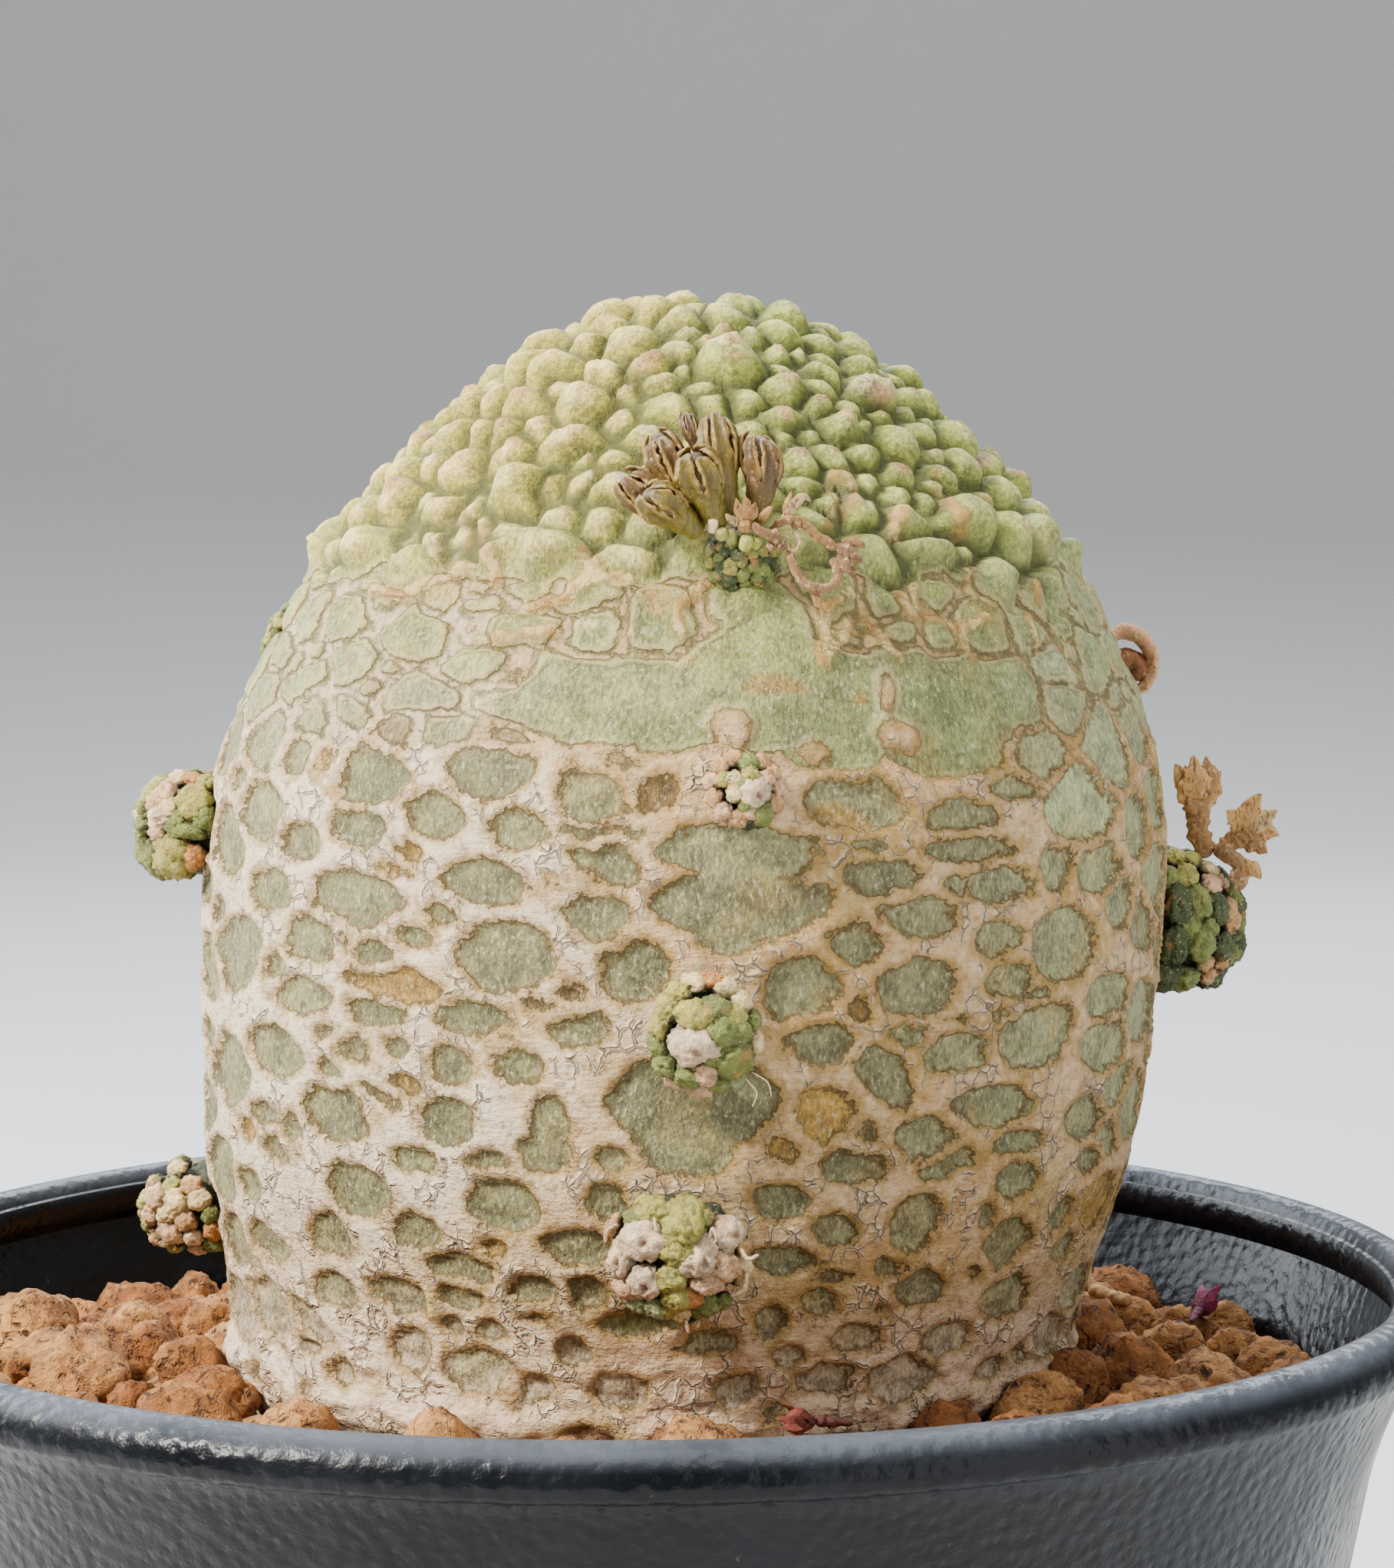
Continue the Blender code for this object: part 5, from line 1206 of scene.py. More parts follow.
# Knobs as they are seen from the front: right and up from the cushion's middle, half-width,
# half-height, and tone. On the side rows the middle is where the cushion meets the skin.
KNOBS = {
    "front_2": (
        (0.45, -0.35, 0.85, 0.8, "scar"), (0.1, 1.5, 0.55, 0.5, "green"),
        (1.0, -1.5, 0.6, 0.6, "green"), (-0.65, -0.35, 0.45, 0.45, "cream"),
        (-0.75, 0.5, 0.45, 0.4, "cream"), (-1.5, 1.3, 0.55, 0.45, "tan"),
        (-2.0, 0.4, 0.5, 0.5, "pink"), (-1.9, -0.6, 0.5, 0.5, "tan"),
        (-1.3, -1.4, 0.55, 0.5, "pink"), (-0.4, -1.85, 0.5, 0.45, "tan"),
        (0.3, -1.45, 0.45, 0.4, "pink"), (1.75, -0.9, 0.45, 0.5, "tan"),
        (2.05, 0.1, 0.5, 0.5, "pink"), (1.6, 1.0, 0.5, 0.5, "tan"), (0.9, 1.6, 0.5, 0.45, "tan"),
        (-0.7, 1.75, 0.5, 0.45, "tan"), (0.25, 0.75, 0.5, 0.45, "yellow"),
        (1.2, 0.5, 0.45, 0.4, "pink"), (-0.2, 0.15, 0.4, 0.35, "green"),
        (-1.3, 0.45, 0.45, 0.4, "yellow"), (0.0, -1.05, 0.45, 0.4, "green"),
    ),
    "front_3": (
        (-0.9, 3.1, 0.7, 0.55, "cream"), (0.1, 3.25, 0.7, 0.5, "orange"),
        (1.1, 2.9, 0.7, 0.55, "cream"), (1.95, 2.2, 0.6, 0.6, "cream"),
        (-1.8, 2.5, 0.65, 0.6, "yellow"), (-2.4, 1.6, 0.7, 0.75, "yellow"),
        (-2.8, 0.5, 0.65, 0.75, "yellow"), (-2.8, -0.7, 0.6, 0.7, "green"),
        (-2.3, -1.8, 0.65, 0.65, "green"), (-0.7, -0.5, 1.15, 1.1, "scar"),
        (0.9, 0.55, 0.8, 0.85, "green"), (1.95, 0.3, 0.7, 0.8, "green"),
        (-0.8, 1.45, 0.9, 0.75, "yellow"), (0.5, 1.75, 0.8, 0.7, "green"),
        (1.6, 1.3, 0.65, 0.6, "yellow"), (1.7, -1.2, 1.1, 1.1, "green"),
        (-0.95, -2.4, 0.75, 0.7, "green"), (0.15, -2.2, 0.7, 0.7, "pink"),
        (0.9, -2.8, 0.65, 0.6, "green"), (-0.1, -3.25, 0.6, 0.55, "pink"),
        (-1.7, -2.9, 0.55, 0.5, "pink"), (2.0, -2.6, 0.6, 0.55, "blue"),
        (0.45, -0.9, 0.6, 0.6, "green"), (3.0, -0.3, 0.5, 0.55, "cream"),
        (2.8, 1.0, 0.55, 0.5, "green"),
    ),
    "front_4": (
        (-1.9, 3.25, 1.1, 0.8, "yellow"), (0.15, 2.8, 1.2, 1.3, "yellow"),
        (-0.25, 1.3, 0.85, 0.8, "yellow"), (-2.3, 1.7, 1.15, 1.0, "scar"),
        (-3.4, 0.2, 0.8, 1.15, "scar"), (-2.0, -0.85, 0.85, 0.95, "scar"),
        (-3.05, -1.6, 0.7, 0.7, "pink"), (1.1, 0.95, 1.0, 1.15, "scar"),
        (2.7, 2.2, 0.95, 1.0, "scar"), (2.6, 0.4, 0.85, 0.85, "pink"),
        (1.6, -0.5, 0.85, 0.7, "pink"), (3.7, 0.0, 0.5, 0.85, "cream"),
        (-0.35, -0.35, 0.8, 0.75, "yellow"), (0.0, -1.7, 0.85, 0.85, "yellow"),
        (0.8, -1.5, 0.6, 0.6, "orange"), (-0.6, -2.65, 0.45, 0.5, "yellow"),
        (0.35, -2.75, 0.45, 0.65, "cream"), (1.7, -2.2, 0.85, 0.75, "green"),
        (-1.2, -2.6, 0.6, 0.6, "blue"), (-2.2, -2.55, 0.55, 0.5, "blue"),
        (0.0, -3.6, 0.5, 0.45, "blue"), (1.2, -3.75, 0.3, 0.4, "cream"),
        (2.7, -2.0, 0.5, 0.5, "green"), (-4.0, 1.7, 0.35, 0.65, "tan"),
        (1.2, 3.2, 0.5, 0.55, "green"), (3.6, 1.3, 0.45, 0.5, "tan"),
        (-2.9, 2.6, 0.6, 0.4, "green"),
    ),
    "left_2": (
        (-2.2, -2.2, 1.4, 1.35, "yellow"), (-1.6, -0.1, 1.2, 0.5, "green"),
        (-1.25, 1.9, 0.9, 1.1, "yellow"), (-3.2, 2.05, 0.8, 0.8, "pink"),
        (-3.35, 0.45, 0.75, 0.75, "scar"), (-3.75, 1.5, 0.6, 0.6, "pink"),
        (-2.8, 1.3, 0.55, 0.6, "cream"), (-3.4, -0.5, 0.55, 0.5, "pink"),
        (-4.4, 2.4, 0.3, 0.25, "pink"), (-3.4, 2.6, 0.6, 0.5, "cream"),
        (-1.5, 3.2, 0.6, 0.5, "orange"), (-2.4, 3.1, 0.6, 0.5, "cream"),
        (-0.6, 3.1, 0.6, 0.55, "yellow"), (-2.1, 0.5, 0.6, 0.6, "green"),
        (-0.9, -1.9, 0.7, 0.8, "orange"), (-0.5, 0.8, 0.7, 0.9, "green"),
    ),
    "left_3": (
        (-1.35, 1.8, 0.65, 0.6, "tan"), (-2.2, 2.85, 0.65, 0.55, "cream"),
        (-2.6, 1.95, 0.55, 0.5, "yellow"), (-3.85, 1.35, 0.75, 0.75, "pink"),
        (-2.45, 0.85, 0.75, 0.75, "cream"), (-4.45, 0.3, 0.6, 0.6, "pink"),
        (-0.95, 0.85, 0.65, 0.65, "cream"), (-2.1, -0.45, 0.65, 0.65, "tan"),
        (-3.35, -1.2, 0.75, 0.8, "pink"), (-1.9, -1.7, 0.6, 0.6, "scar"),
        (-0.45, -1.45, 0.6, 0.65, "orange"), (-0.7, -2.45, 0.6, 0.55, "green"),
        (-1.85, -2.6, 0.5, 0.5, "pink"), (-0.45, -0.3, 0.55, 0.55, "green"),
        (-5.0, 0.0, 0.3, 0.35, "cream"), (-3.4, 0.1, 0.6, 0.55, "cream"),
    ),
    "right_2": (
        (1.0, 4.6, 0.7, 0.6, "yellow"), (2.5, 5.0, 0.65, 0.55, "yellow"),
        (3.9, 4.3, 0.6, 0.55, "cream"), (1.7, 3.4, 0.7, 0.7, "yellow"),
        (3.4, 2.9, 0.6, 0.6, "pink"), (1.0, 1.6, 0.75, 1.2, "dark"), (2.4, 1.7, 0.7, 1.1, "green"),
        (3.8, 1.4, 0.7, 1.0, "dark"), (4.9, 0.8, 0.6, 0.9, "tan"), (1.0, -1.2, 0.8, 1.1, "dark"),
        (2.7, -1.0, 0.85, 1.1, "green"), (4.4, -1.2, 0.7, 0.9, "dark"),
        (0.3, -3.4, 1.0, 1.0, "dark"), (2.0, -3.6, 0.9, 0.9, "green"),
        (3.7, -3.25, 0.6, 0.6, "tan"), (4.5, -2.2, 0.55, 0.55, "tan"), (3.2, -2.3, 0.5, 0.5, "tan"),
        (1.8, 0.2, 0.6, 0.6, "green"), (5.3, 2.2, 0.5, 0.6, "green"), (4.6, 3.3, 0.5, 0.5, "pink"),
        (0.2, 3.3, 0.7, 0.8, "green"), (3.3, 0.1, 0.55, 0.55, "green"),
    ),
}
# Cushions with many small knobs of an even size: how many, their half-size, and their tones.
EVEN_KNOBS = {
    "front_1": (84, 0.36, ("green", "green", "yellow", "dark", "green")),
    "back_1": (20, 0.75, ("green", "yellow", "green", "scar", "pink")),
    "back_2": (22, 0.9, ("green", "yellow", "scar", "green", "tan")),
    "back_3": (24, 1.0, ("green", "scar", "yellow", "green", "pink", "blue")),
    "left_1": (14, 0.36, ("green", "orange", "yellow", "green")),
}
KNOB_PAINTS = paint_box(
    green=(116, 124, 58), yellow=(162, 154, 72), blue=(150, 158, 108), dark=(66, 76, 36),
    cream=(220, 194, 136), tan=(188, 144, 92), pink=(206, 164, 124), orange=(194, 130, 66),
    scar=(218, 190, 154),
)
CREVICE_SHADE_PAINT = pigment(50, 52, 28)
CORE_SIZE = 0.74
KNOB_TURN = math.radians(137.5)
KNOB_GROWTH = 1.2
# how far these stand to the left of their row
ASIDE = {"front_1": -0.45, "front_3": -0.95, "front_4": -0.85}
KNOB_SHAPES = 6
TOWARDS_CAMERA = {1: (-1, 1), 3: (1, -1)}  # on the side rows: the camera's side, and its right


def knob_shape(seed, subdivisions):
    """A lobe of unit size: a ball, softly dented and finely wrinkled."""
    bpy.ops.object.select_all(action="DESELECT")
    bpy.ops.mesh.primitive_ico_sphere_add(subdivisions=subdivisions, radius=1)
    points, faces = take_shape(bpy.context.object)
    points = unit(points)
    shift = Vector((seed, 0, 2 * seed))
    dents, wrinkles, creases = (
        np.array([noise.noise(Vector(point) * fineness + shift) for point in points])
        for fineness in (1.5, 2.9, 6.0)
    )
    size = 1.1 + 0.26 * dents - 0.34 * np.abs(wrinkles) - 0.16 * np.abs(creases)
    return points * size[:, None], faces


fine_knobs = [knob_shape(3.1 * number, 4) for number in range(KNOB_SHAPES)]
plain_knobs = [knob_shape(3.1 * number, 3) for number in range(KNOB_SHAPES)]


def assembled(name, forms):
    """One mesh of several closed forms, each given as points, faces and the points' colours."""
    points, faces, tints, count = [], [], [], 0
    for form_points, form_faces, form_tints in forms:
        points.append(form_points)
        faces += [[corner + count for corner in face] for face in form_faces]
        tints.append(np.broadcast_to(form_tints, (len(form_points), 3)))
        count += len(form_points)
    mesh = bpy.data.meshes.new(name)
    mesh.from_pydata(np.vstack(points) * MM, [], faces)
    keep_colour(mesh, "tint", np.vstack(tints))
    piece = bpy.data.objects.new(name, mesh)
    bpy.context.scene.collection.objects.link(piece)
    select_only(piece)
    bpy.ops.object.shade_smooth()
    return piece


def knob_on(middle, axes, half_sizes, direction, wide, tall, tone, shape, turn):
    """A knob that sits in the face of a cushion, darkened towards its foot by painted shade."""
    points, faces = shape
    spot = unit(np.array(direction, float)) * half_sizes
    facing = unit(spot / np.square(half_sizes))
    across = unit(np.cross((0, 1, 0.001), facing))
    upward = np.cross(facing, across)
    depth = 0.85 * math.sqrt(wide * tall)
    cosine, sine = math.cos(turn), math.sin(turn)
    spun = points @ np.array(((cosine, sine, 0), (-sine, cosine, 0), (0, 0, 1)))
    local = spot - 0.45 * depth * facing
    local = local + (spun * (wide, tall, depth)) @ np.array((across, upward, facing))
    height = spun[:, 2]
    shown = KNOB_PAINTS[tone]
    # Painted shade: the knob is darker towards its foot, and dark olive where it goes down between
    # the others.
    tint = shown * (0.56 + 0.52 * smooth_step(0.0, 0.85, height))[:, None]
    if tone == "scar":
        away = np.hypot(spun[:, 0] - 0.15, spun[:, 1] + 0.1)
        tint = tinted(tint, DENT_PAINT, 0.8 * smooth_step(0.3, 0.12, away) * (height > 0))
        local -= facing * (0.16 * smooth_step(0.35, 0.1, away) * (height > 0))[:, None]
    tint = tinted(tint, CREVICE_SHADE_PAINT, 0.9 * smooth_step(0.2, -0.15, height))
    return middle + local @ axes, faces, tint


def cushion_forms(name, row, height, half_width, half_height, reach, seed):
    """The core of a cushion and all its knobs."""
    draw = random.Random(seed)
    middle, level, up, out = skin_frame(*skin_spot(ASIDE.get(name, 0), height, row))
    axes = np.array((level, up, out))
    half_sizes = np.array((half_width, half_height, reach))
    points, faces = fine_knobs[seed % KNOB_SHAPES]
    # The core shows only in the gaps between the knobs and is painted the dark olive of painted
    # shade.
    forms = [(middle + (points * half_sizes * CORE_SIZE) @ axes, faces, CREVICE_SHADE_PAINT)]
    shapes = plain_knobs if row == 2 or name in EVEN_KNOBS else fine_knobs

    def add_knob(direction, wide, tall, tone):
        wide *= KNOB_GROWTH * draw.uniform(0.94, 1.08)
        tall *= KNOB_GROWTH * draw.uniform(0.94, 1.08)
        shape = shapes[draw.randrange(KNOB_SHAPES)]
        turn = draw.uniform(-0.5, 0.5)
        forms.append(knob_on(middle, axes, half_sizes, direction, wide, tall, tone, shape, turn))

    if name in EVEN_KNOBS:
        count, size, tones = EVEN_KNOBS[name]
        for number in range(count):
            out_share = 1 - (number + 0.5) / count * 1.1
            flat = math.sqrt(1 - out_share**2)
            around = number * KNOB_TURN + draw.uniform(-0.2, 0.2)
            grown = size * draw.uniform(0.75, 1.25)
            direction = (flat * math.cos(around), flat * math.sin(around), out_share)
            add_knob(direction, grown, grown * draw.uniform(0.85, 1.2), draw.choice(tones))
        return forms
    for right, above, wide, tall, tone in KNOBS[name]:
        if row == 0:
            x, y = right / half_width, above / half_height
            size = max(1.0, math.hypot(x, y) / 0.97)
            x, y = x / size, y / size
            add_knob((x, y, math.sqrt(1 - x * x - y * y)), wide, tall, tone)
            continue
        near, outward = TOWARDS_CAMERA[row]
        z, y = outward * right / reach, above / half_height
        size = max(1.0, math.hypot(z, y) / 0.97)
        z, y = z / size, y / size
        aside = math.sqrt(1 - y * y - z * z)
        add_knob((near * aside, y, z), wide, tall, tone)
        add_knob((-near * aside, y, z), wide, tall, draw.choice((tone, "green", "yellow")))
        if aside > 0.5:
            ends = (tone, "green", "dark" if row == 1 else "yellow")
            add_knob((0.1 * near * aside, y, max(z, 0.75)), wide, tall, draw.choice(ends))
    return forms


cushion_green, tree, shader = new_finish("cushion_green", 0.58)
place = object_millimetres(tree)
tint = kept(tree, "tint", "Color")
rough_skin = grain_of(tree, place, 0.3, 4, 0.65)
blotch = grain_of(tree, place, 0.9, 4, 0.6)
shades = sum_of(
    tree,
    0.62,
    times(tree, spread(tree, rough_skin, 0.36, 0.64), 0.36),
    times(tree, spread(tree, blotch, 0.36, 0.64), 0.4),
)
tint = shaded(tree, tint, shades)
fluff = spread(tree, grain_of(tree, place, 0.22, 3, 0.7), 0.58, 0.68)
tint = blend_colours(tree, times(tree, fluff, 0.4), tint, paint(226, 216, 176))
rust = spread(tree, grain_of(tree, place, 1.3, 4, 0.6), 0.6, 0.7)
tint = blend_colours(tree, times(tree, rust, 0.5), tint, paint(186, 120, 62))
tree.links.new(tint, shader.inputs["Base Color"])
stand_out(tree, shader, sum_of(tree, rough_skin, times(tree, blotch, 0.5)), 0.3)

BALL_SIDES, BALL_RINGS = 24, 32
ROUTE_STEPS = 16
bpy.ops.object.select_all(action="DESELECT")
bpy.ops.mesh.primitive_uv_sphere_add(segments=BALL_SIDES, ring_count=BALL_RINGS, radius=1)
plain_ball = take_shape(bpy.context.object)


def smooth_route(route, shares):
    """Places along a smooth line through a route's points, at shares of its length."""
    stops = np.array(route, float)
    if len(stops) == 2:
        stops = np.array((stops[0], stops.mean(0), stops[1]))
    ends = np.vstack([2 * stops[0] - stops[1], stops, 2 * stops[-1] - stops[-2]])
    line, run = smooth_line(ends, ROUTE_STEPS)
    return np.stack([np.interp(shares * run[-1], run, line[:, axis]) for axis in range(3)], -1)


def grown_along(
    route,
    widths,
    thickness=1.0,
    flat_side=(0, 0, 1),
    wide_side=None,
    seed=0.0,
    wrinkle=0.0,
):
    """A closed form along a line: half-widths at even stops, and its thickness as a share.

    It is a ball drawn out along the line, thin towards its flat side or broad along its wide
    side. With it come each point's share of the length and its angle round the line.
    """
    ball_points, ball_faces = plain_ball
    share = np.arccos(np.clip(-ball_points[:, 2], -1, 1)) / math.pi
    around = np.arctan2(ball_points[:, 1], ball_points[:, 0])
    line = smooth_route(route, share)
    ahead = smooth_route(route, np.minimum(share + 0.02, 1))
    behind = smooth_route(route, np.maximum(share - 0.02, 0))
    along = unit(ahead - behind)
    across = np.cross(np.broadcast_to(flat_side, along.shape), along)
    if wide_side is not None:
        across = wide_side - along * (along @ np.array(wide_side, float))[:, None]
    across = unit(across)
    over = np.cross(along, across)
    closing = np.sqrt(np.clip(1 - np.abs(2 * share - 1) ** 8, 0, 1))
    reach = np.interp(share, np.linspace(0, 1, len(widths)), widths) * closing
    if wrinkle:
        shift = Vector((seed, seed, 0))
        spots = [Vector(point) for point in line + ball_points * 0.5]
        folds = np.array([noise.noise(spot * 1.9 + shift) for spot in spots])
        fine = np.array([abs(noise.noise(spot * 4.6 + shift)) for spot in spots])
        reach = reach * (1 + wrinkle * (2 * folds - 1.4 * fine))
    x, y = reach * np.cos(around), reach * thickness * np.sin(around)
    return line + x[:, None] * across + y[:, None] * over, ball_faces, share, around


# Dry threads: half-width, then the places they run by, right, up and out from the middle.
FILAMENTS = {
    "front_4": (
        (0.1, (1.5, 2.3, 3.3), (1.6, 3.0, 3.5), (1.85, 2.5, 3.7), (1.75, 2.1, 3.5)),
        (0.14, (3.0, -1.4, 2.6), (3.7, -0.9, 2.6), (3.8, 0.1, 2.5), (3.4, 0.5, 2.7)),
        (0.1, (-1.7, 3.1, 2.6), (-1.5, 2.4, 3.1)),
        (0.12, (3.3, 1.5, 2.4), (3.8, 1.0, 2.7), (4.4, 1.3, 2.7)),
        (0.1, (-4.3, 1.0, 1.8), (-4.2, 1.8, 1.9), (-3.7, 2.3, 2.0)),
        (0.1, (0.6, -2.9, 2.9), (0.8, -3.7, 2.9)),
    ),
    "front_3": (
        (0.06, (2.4, -2.3, 2.0), (3.0, -3.0, 2.4), (2.8, -3.8, 2.6)),
        (0.05, (2.7, -1.9, 2.0), (3.6, -2.4, 2.2), (3.9, -3.3, 2.0)),
        (0.07, (-2.9, 2.1, 1.6), (-3.5, 2.7, 1.9)),
    ),
    "front_2": (
        (0.06, (1.9, -1.0, 1.2), (2.7, -1.6, 1.3)),
        (0.06, (-2.0, 1.1, 1.2), (-2.7, 1.7, 1.2)),
    ),
}
FILAMENT_PAINT = pigment(232, 206, 162)

for number, (name, row, height_up, half_width, half_height, reach) in enumerate(CUSHIONS):
    forms = cushion_forms(name, row, height_up, half_width, half_height, reach, 40 + number)
    middle, level, up, out = skin_frame(*skin_spot(ASIDE.get(name, 0), height_up, row))
    for half, *route in FILAMENTS.get(name, ()):
        stops = middle + np.array(route) @ np.array((level, up, out))
        shaped, faces, share, around = grown_along(stops, (half, half, half * 0.8))
        forms.append((shaped, faces, FILAMENT_PAINT))
    piece = assembled("head_" + name, forms)
    show(piece, cushion_green, "cushion_green", "cushion_" + name)

# Dried curl
# On the right a spent cushion has dried to one brown lobe, curled over like a hook.

CURL_SPOT = (1, 119.6)
# right and up of the spot on the skin, as the camera sees it
CURL_ROUTE = ((-1.3, 2.0), (0.2, 2.75), (1.5, 2.1), (2.05, 0.7), (1.6, -0.7), (0.7, -1.3))
CURL_HEART = ((-0.8, 0.9), (0.6, 0.9), (1.2, 0.3), (0.9, -0.5))
CURL_PAINTS = [pigment(*rgb) for rgb in ((196, 148, 104), (142, 92, 56))]

middle, level, up, out = skin_frame(*skin_spot(0, CURL_SPOT[1], CURL_SPOT[0]))
forms = []
for route, widths, thick, tone in (
    (CURL_ROUTE, (0.9, 1.25, 1.3, 1.25, 1.1, 0.8), 0.42, CURL_PAINTS[0]),
    (CURL_HEART, (0.9, 1.0, 0.95, 0.6), 0.75, CURL_PAINTS[1]),
):
    stops = [middle + (right, 0, above) for right, above in route]
    shaped, faces, share, around = grown_along(
        stops, widths, thick, wide_side=(0, 1, 0), seed=4.0, wrinkle=0.12
    )
    inner = smooth_step(-0.2, 0.6, np.sin(around))[:, None]
    forms.append((shaped, faces, tone * (0.85 + 0.25 * inner)))
dried_curl, tree, shader = new_finish("dried_curl", 0.8)
place = object_millimetres(tree)
bark = grain_of(tree, place, 0.5, 4, 0.6)
lines = grain_of(tree, object_millimetres(tree, (1, 4, 1)), 0.25, 3, 0.6)
tint = kept(tree, "tint", "Color")
tint = blend_colours(tree, spread(tree, bark, 0.52, 0.7, 0.0, 0.6), tint, paint(226, 188, 146))
tint = blend_colours(tree, spread(tree, lines, 0.46, 0.36, 0.0, 0.6), tint, paint(112, 70, 42))
tree.links.new(tint, shader.inputs["Base Color"])
stand_out(tree, shader, sum_of(tree, bark, lines), 0.2)
piece = assembled("curl_right_1", forms)
show(piece, dried_curl, "dried_curl", "cushion_right_1")

# Flower buds
# Six fleshy olive buds and a small one stand on the top cushion in front. Each is a smooth tube
# that widens to six thick lobes with pale raised rims, which lean together at the tip.

BUD_PETALS = 6
TOP_HEAD = (-0.45, 127.0)  # the side and height of the top cushion in front
# foot and tip: right, forward and up from the cushion's middle on the skin; half-width; tone
BUDS = (
    ((-2.2, 1.6, 1.9), (-5.2, 0.4, 8.3), 1.05, (98, 70, 22)),
    ((-0.6, 1.4, 2.4), (-1.7, 0.2, 9.4), 1.1, (106, 86, 16)),
    ((0.9, 1.5, 2.3), (1.0, 0.8, 8.1), 1.1, (94, 68, 32)),
    ((-1.1, 2.0, 2.0), (-3.0, 3.4, 7.0), 1.25, (104, 88, 14)),
    ((-2.3, 2.2, 1.6), (-6.0, 3.6, 4.5), 1.15, (106, 90, 16)),
    ((-2.5, 1.4, 1.9), (-7.3, 1.4, 5.4), 1.05, (96, 68, 20)),
    ((-2.0, 0.6, 5.6), (-3.3, 0.4, 9.2), 0.45, (84, 60, 36)),
)
BUD_WIDTHS = (0.5, 0.54, 0.62, 0.72, 0.82, 0.9, 0.92, 0.9, 0.8, 0.66, 0.44)
PETAL_WIDTHS = (0.3, 0.44, 0.5, 0.52, 0.48, 0.44, 0.38, 0.26)
# share of the bud's length, and how far out, for the places that a petal runs by
PETAL_RUN = ((0.4, 0.6), (0.56, 0.86), (0.72, 1.0), (0.86, 0.94), (0.97, 0.7), (1.0, 0.4))
BUD_RIM_PAINT = pigment(164, 130, 68)
BUD_SHADE_PAINT = pigment(72, 50, 26)
BUD_GREEN_PAINT = pigment(104, 94, 14)

forms = []
middle, level, up, out = skin_frame(*skin_spot(*TOP_HEAD))
draw = random.Random(8)
for number, (foot, tip, half, rgb) in enumerate(BUDS):
    foot, tip = np.array(foot) * (1, -1, 1), np.array(tip) * (1, -1, 1)
    bow = np.array((draw.uniform(-0.3, 0.3), draw.uniform(-0.5, 0.2), 0))
    stops = middle + np.array((foot, (foot + tip) / 2 + bow, tip - 0.12 * (tip - foot)))
    shown = pigment(*rgb)
    shaped, faces, share, around = grown_along(
        stops, [half * width for width in BUD_WIDTHS], seed=float(number), wrinkle=0.05
    )
    tint = tinted(shown, BUD_GREEN_PAINT, 0.65 * smooth_step(0.5, 0.1, share))
    # Painted shade: the tube is dark near its top, where it shows between the petals.
    tint = tinted(tint, BUD_SHADE_PAINT, 0.85 * smooth_step(0.72, 0.86, share))
    forms.append((shaped, faces, tint))
    heading = unit(tip - foot)
    first_side = unit(np.cross(heading, (0.3, 1.0, 0.2)))
    second_side = np.cross(heading, first_side)
    start_turn = draw.uniform(0, 1.2)
    for petal in range(BUD_PETALS):
        turn = start_turn + 2 * math.pi * petal / BUD_PETALS
        facing = math.cos(turn) * first_side + math.sin(turn) * second_side
        longer = draw.uniform(0.92, 1.04)
        route = smooth_route(stops, np.minimum([longer * place for place, _ in PETAL_RUN], 1))
        beyond = np.maximum([longer * place - 1 for place, _ in PETAL_RUN], 0)
        route = route + beyond[:, None] * (tip - foot)
        route = route + np.array([half * reach for _, reach in PETAL_RUN])[:, None] * facing
        widths = [half * width * draw.uniform(0.95, 1.05) for width in PETAL_WIDTHS]
        shaped, faces, share, around = grown_along(
            route, widths, 0.5, flat_side=facing, seed=3 * number + 1.3 * petal, wrinkle=0.2
        )
        outer = np.sin(around)
        edge_on = np.abs(np.cos(around))
        shaped -= facing * (0.2 * half * smooth_step(0.75, 0.2, edge_on) * (outer > 0))[:, None]
        # Painted shade: the petal is darker in the dished middle of its faces and dark on the face
        # that looks into the bud.
        petal_paint = tinted(shown, BUD_SHADE_PAINT, 0.35 * smooth_step(0.45, 0.1, edge_on))
        rim = smooth_step(0.74, 0.95, edge_on) * smooth_step(0.1, 0.3, share)
        rim = np.maximum(rim, 0.9 * smooth_step(0.86, 0.97, share))
        petal_paint = tinted(petal_paint, BUD_RIM_PAINT, 0.85 * rim)
        petal_paint = tinted(petal_paint, BUD_SHADE_PAINT, 0.7 * smooth_step(-0.2, -0.7, outer))
        forms.append((shaped, faces, petal_paint))
# A small cut stub, a ring-shaped knob and a few leafy points at the feet of the buds.
for foot, tip, half, rgb in (
    ((-1.6, 2.3, 1.9), (-1.6, 2.9, 2.6), 0.32, (226, 206, 150)),
    ((-1.1, 2.4, 1.5), (-1.1, 2.9, 2.0), 0.35, (160, 150, 80)),
    ((0.2, 2.2, 0.9), (0.4, 2.8, 1.6), 0.4, (176, 172, 84)),
    ((0.7, 2.0, 1.0), (1.1, 2.5, 1.6), 0.35, (160, 160, 76)),
    ((-0.5, 2.0, 1.2), (-0.6, 2.6, 2.0), 0.35, (140, 142, 70)),
):
    stops = middle + np.array((foot, tip)) * (1, -1, 1)
    widths = (half, half, half * 0.9)
    shaped, faces, share, around = grown_along(stops, widths, flat_side=(1, 0, 0.1))
    forms.append((shaped, faces, pigment(*rgb)))

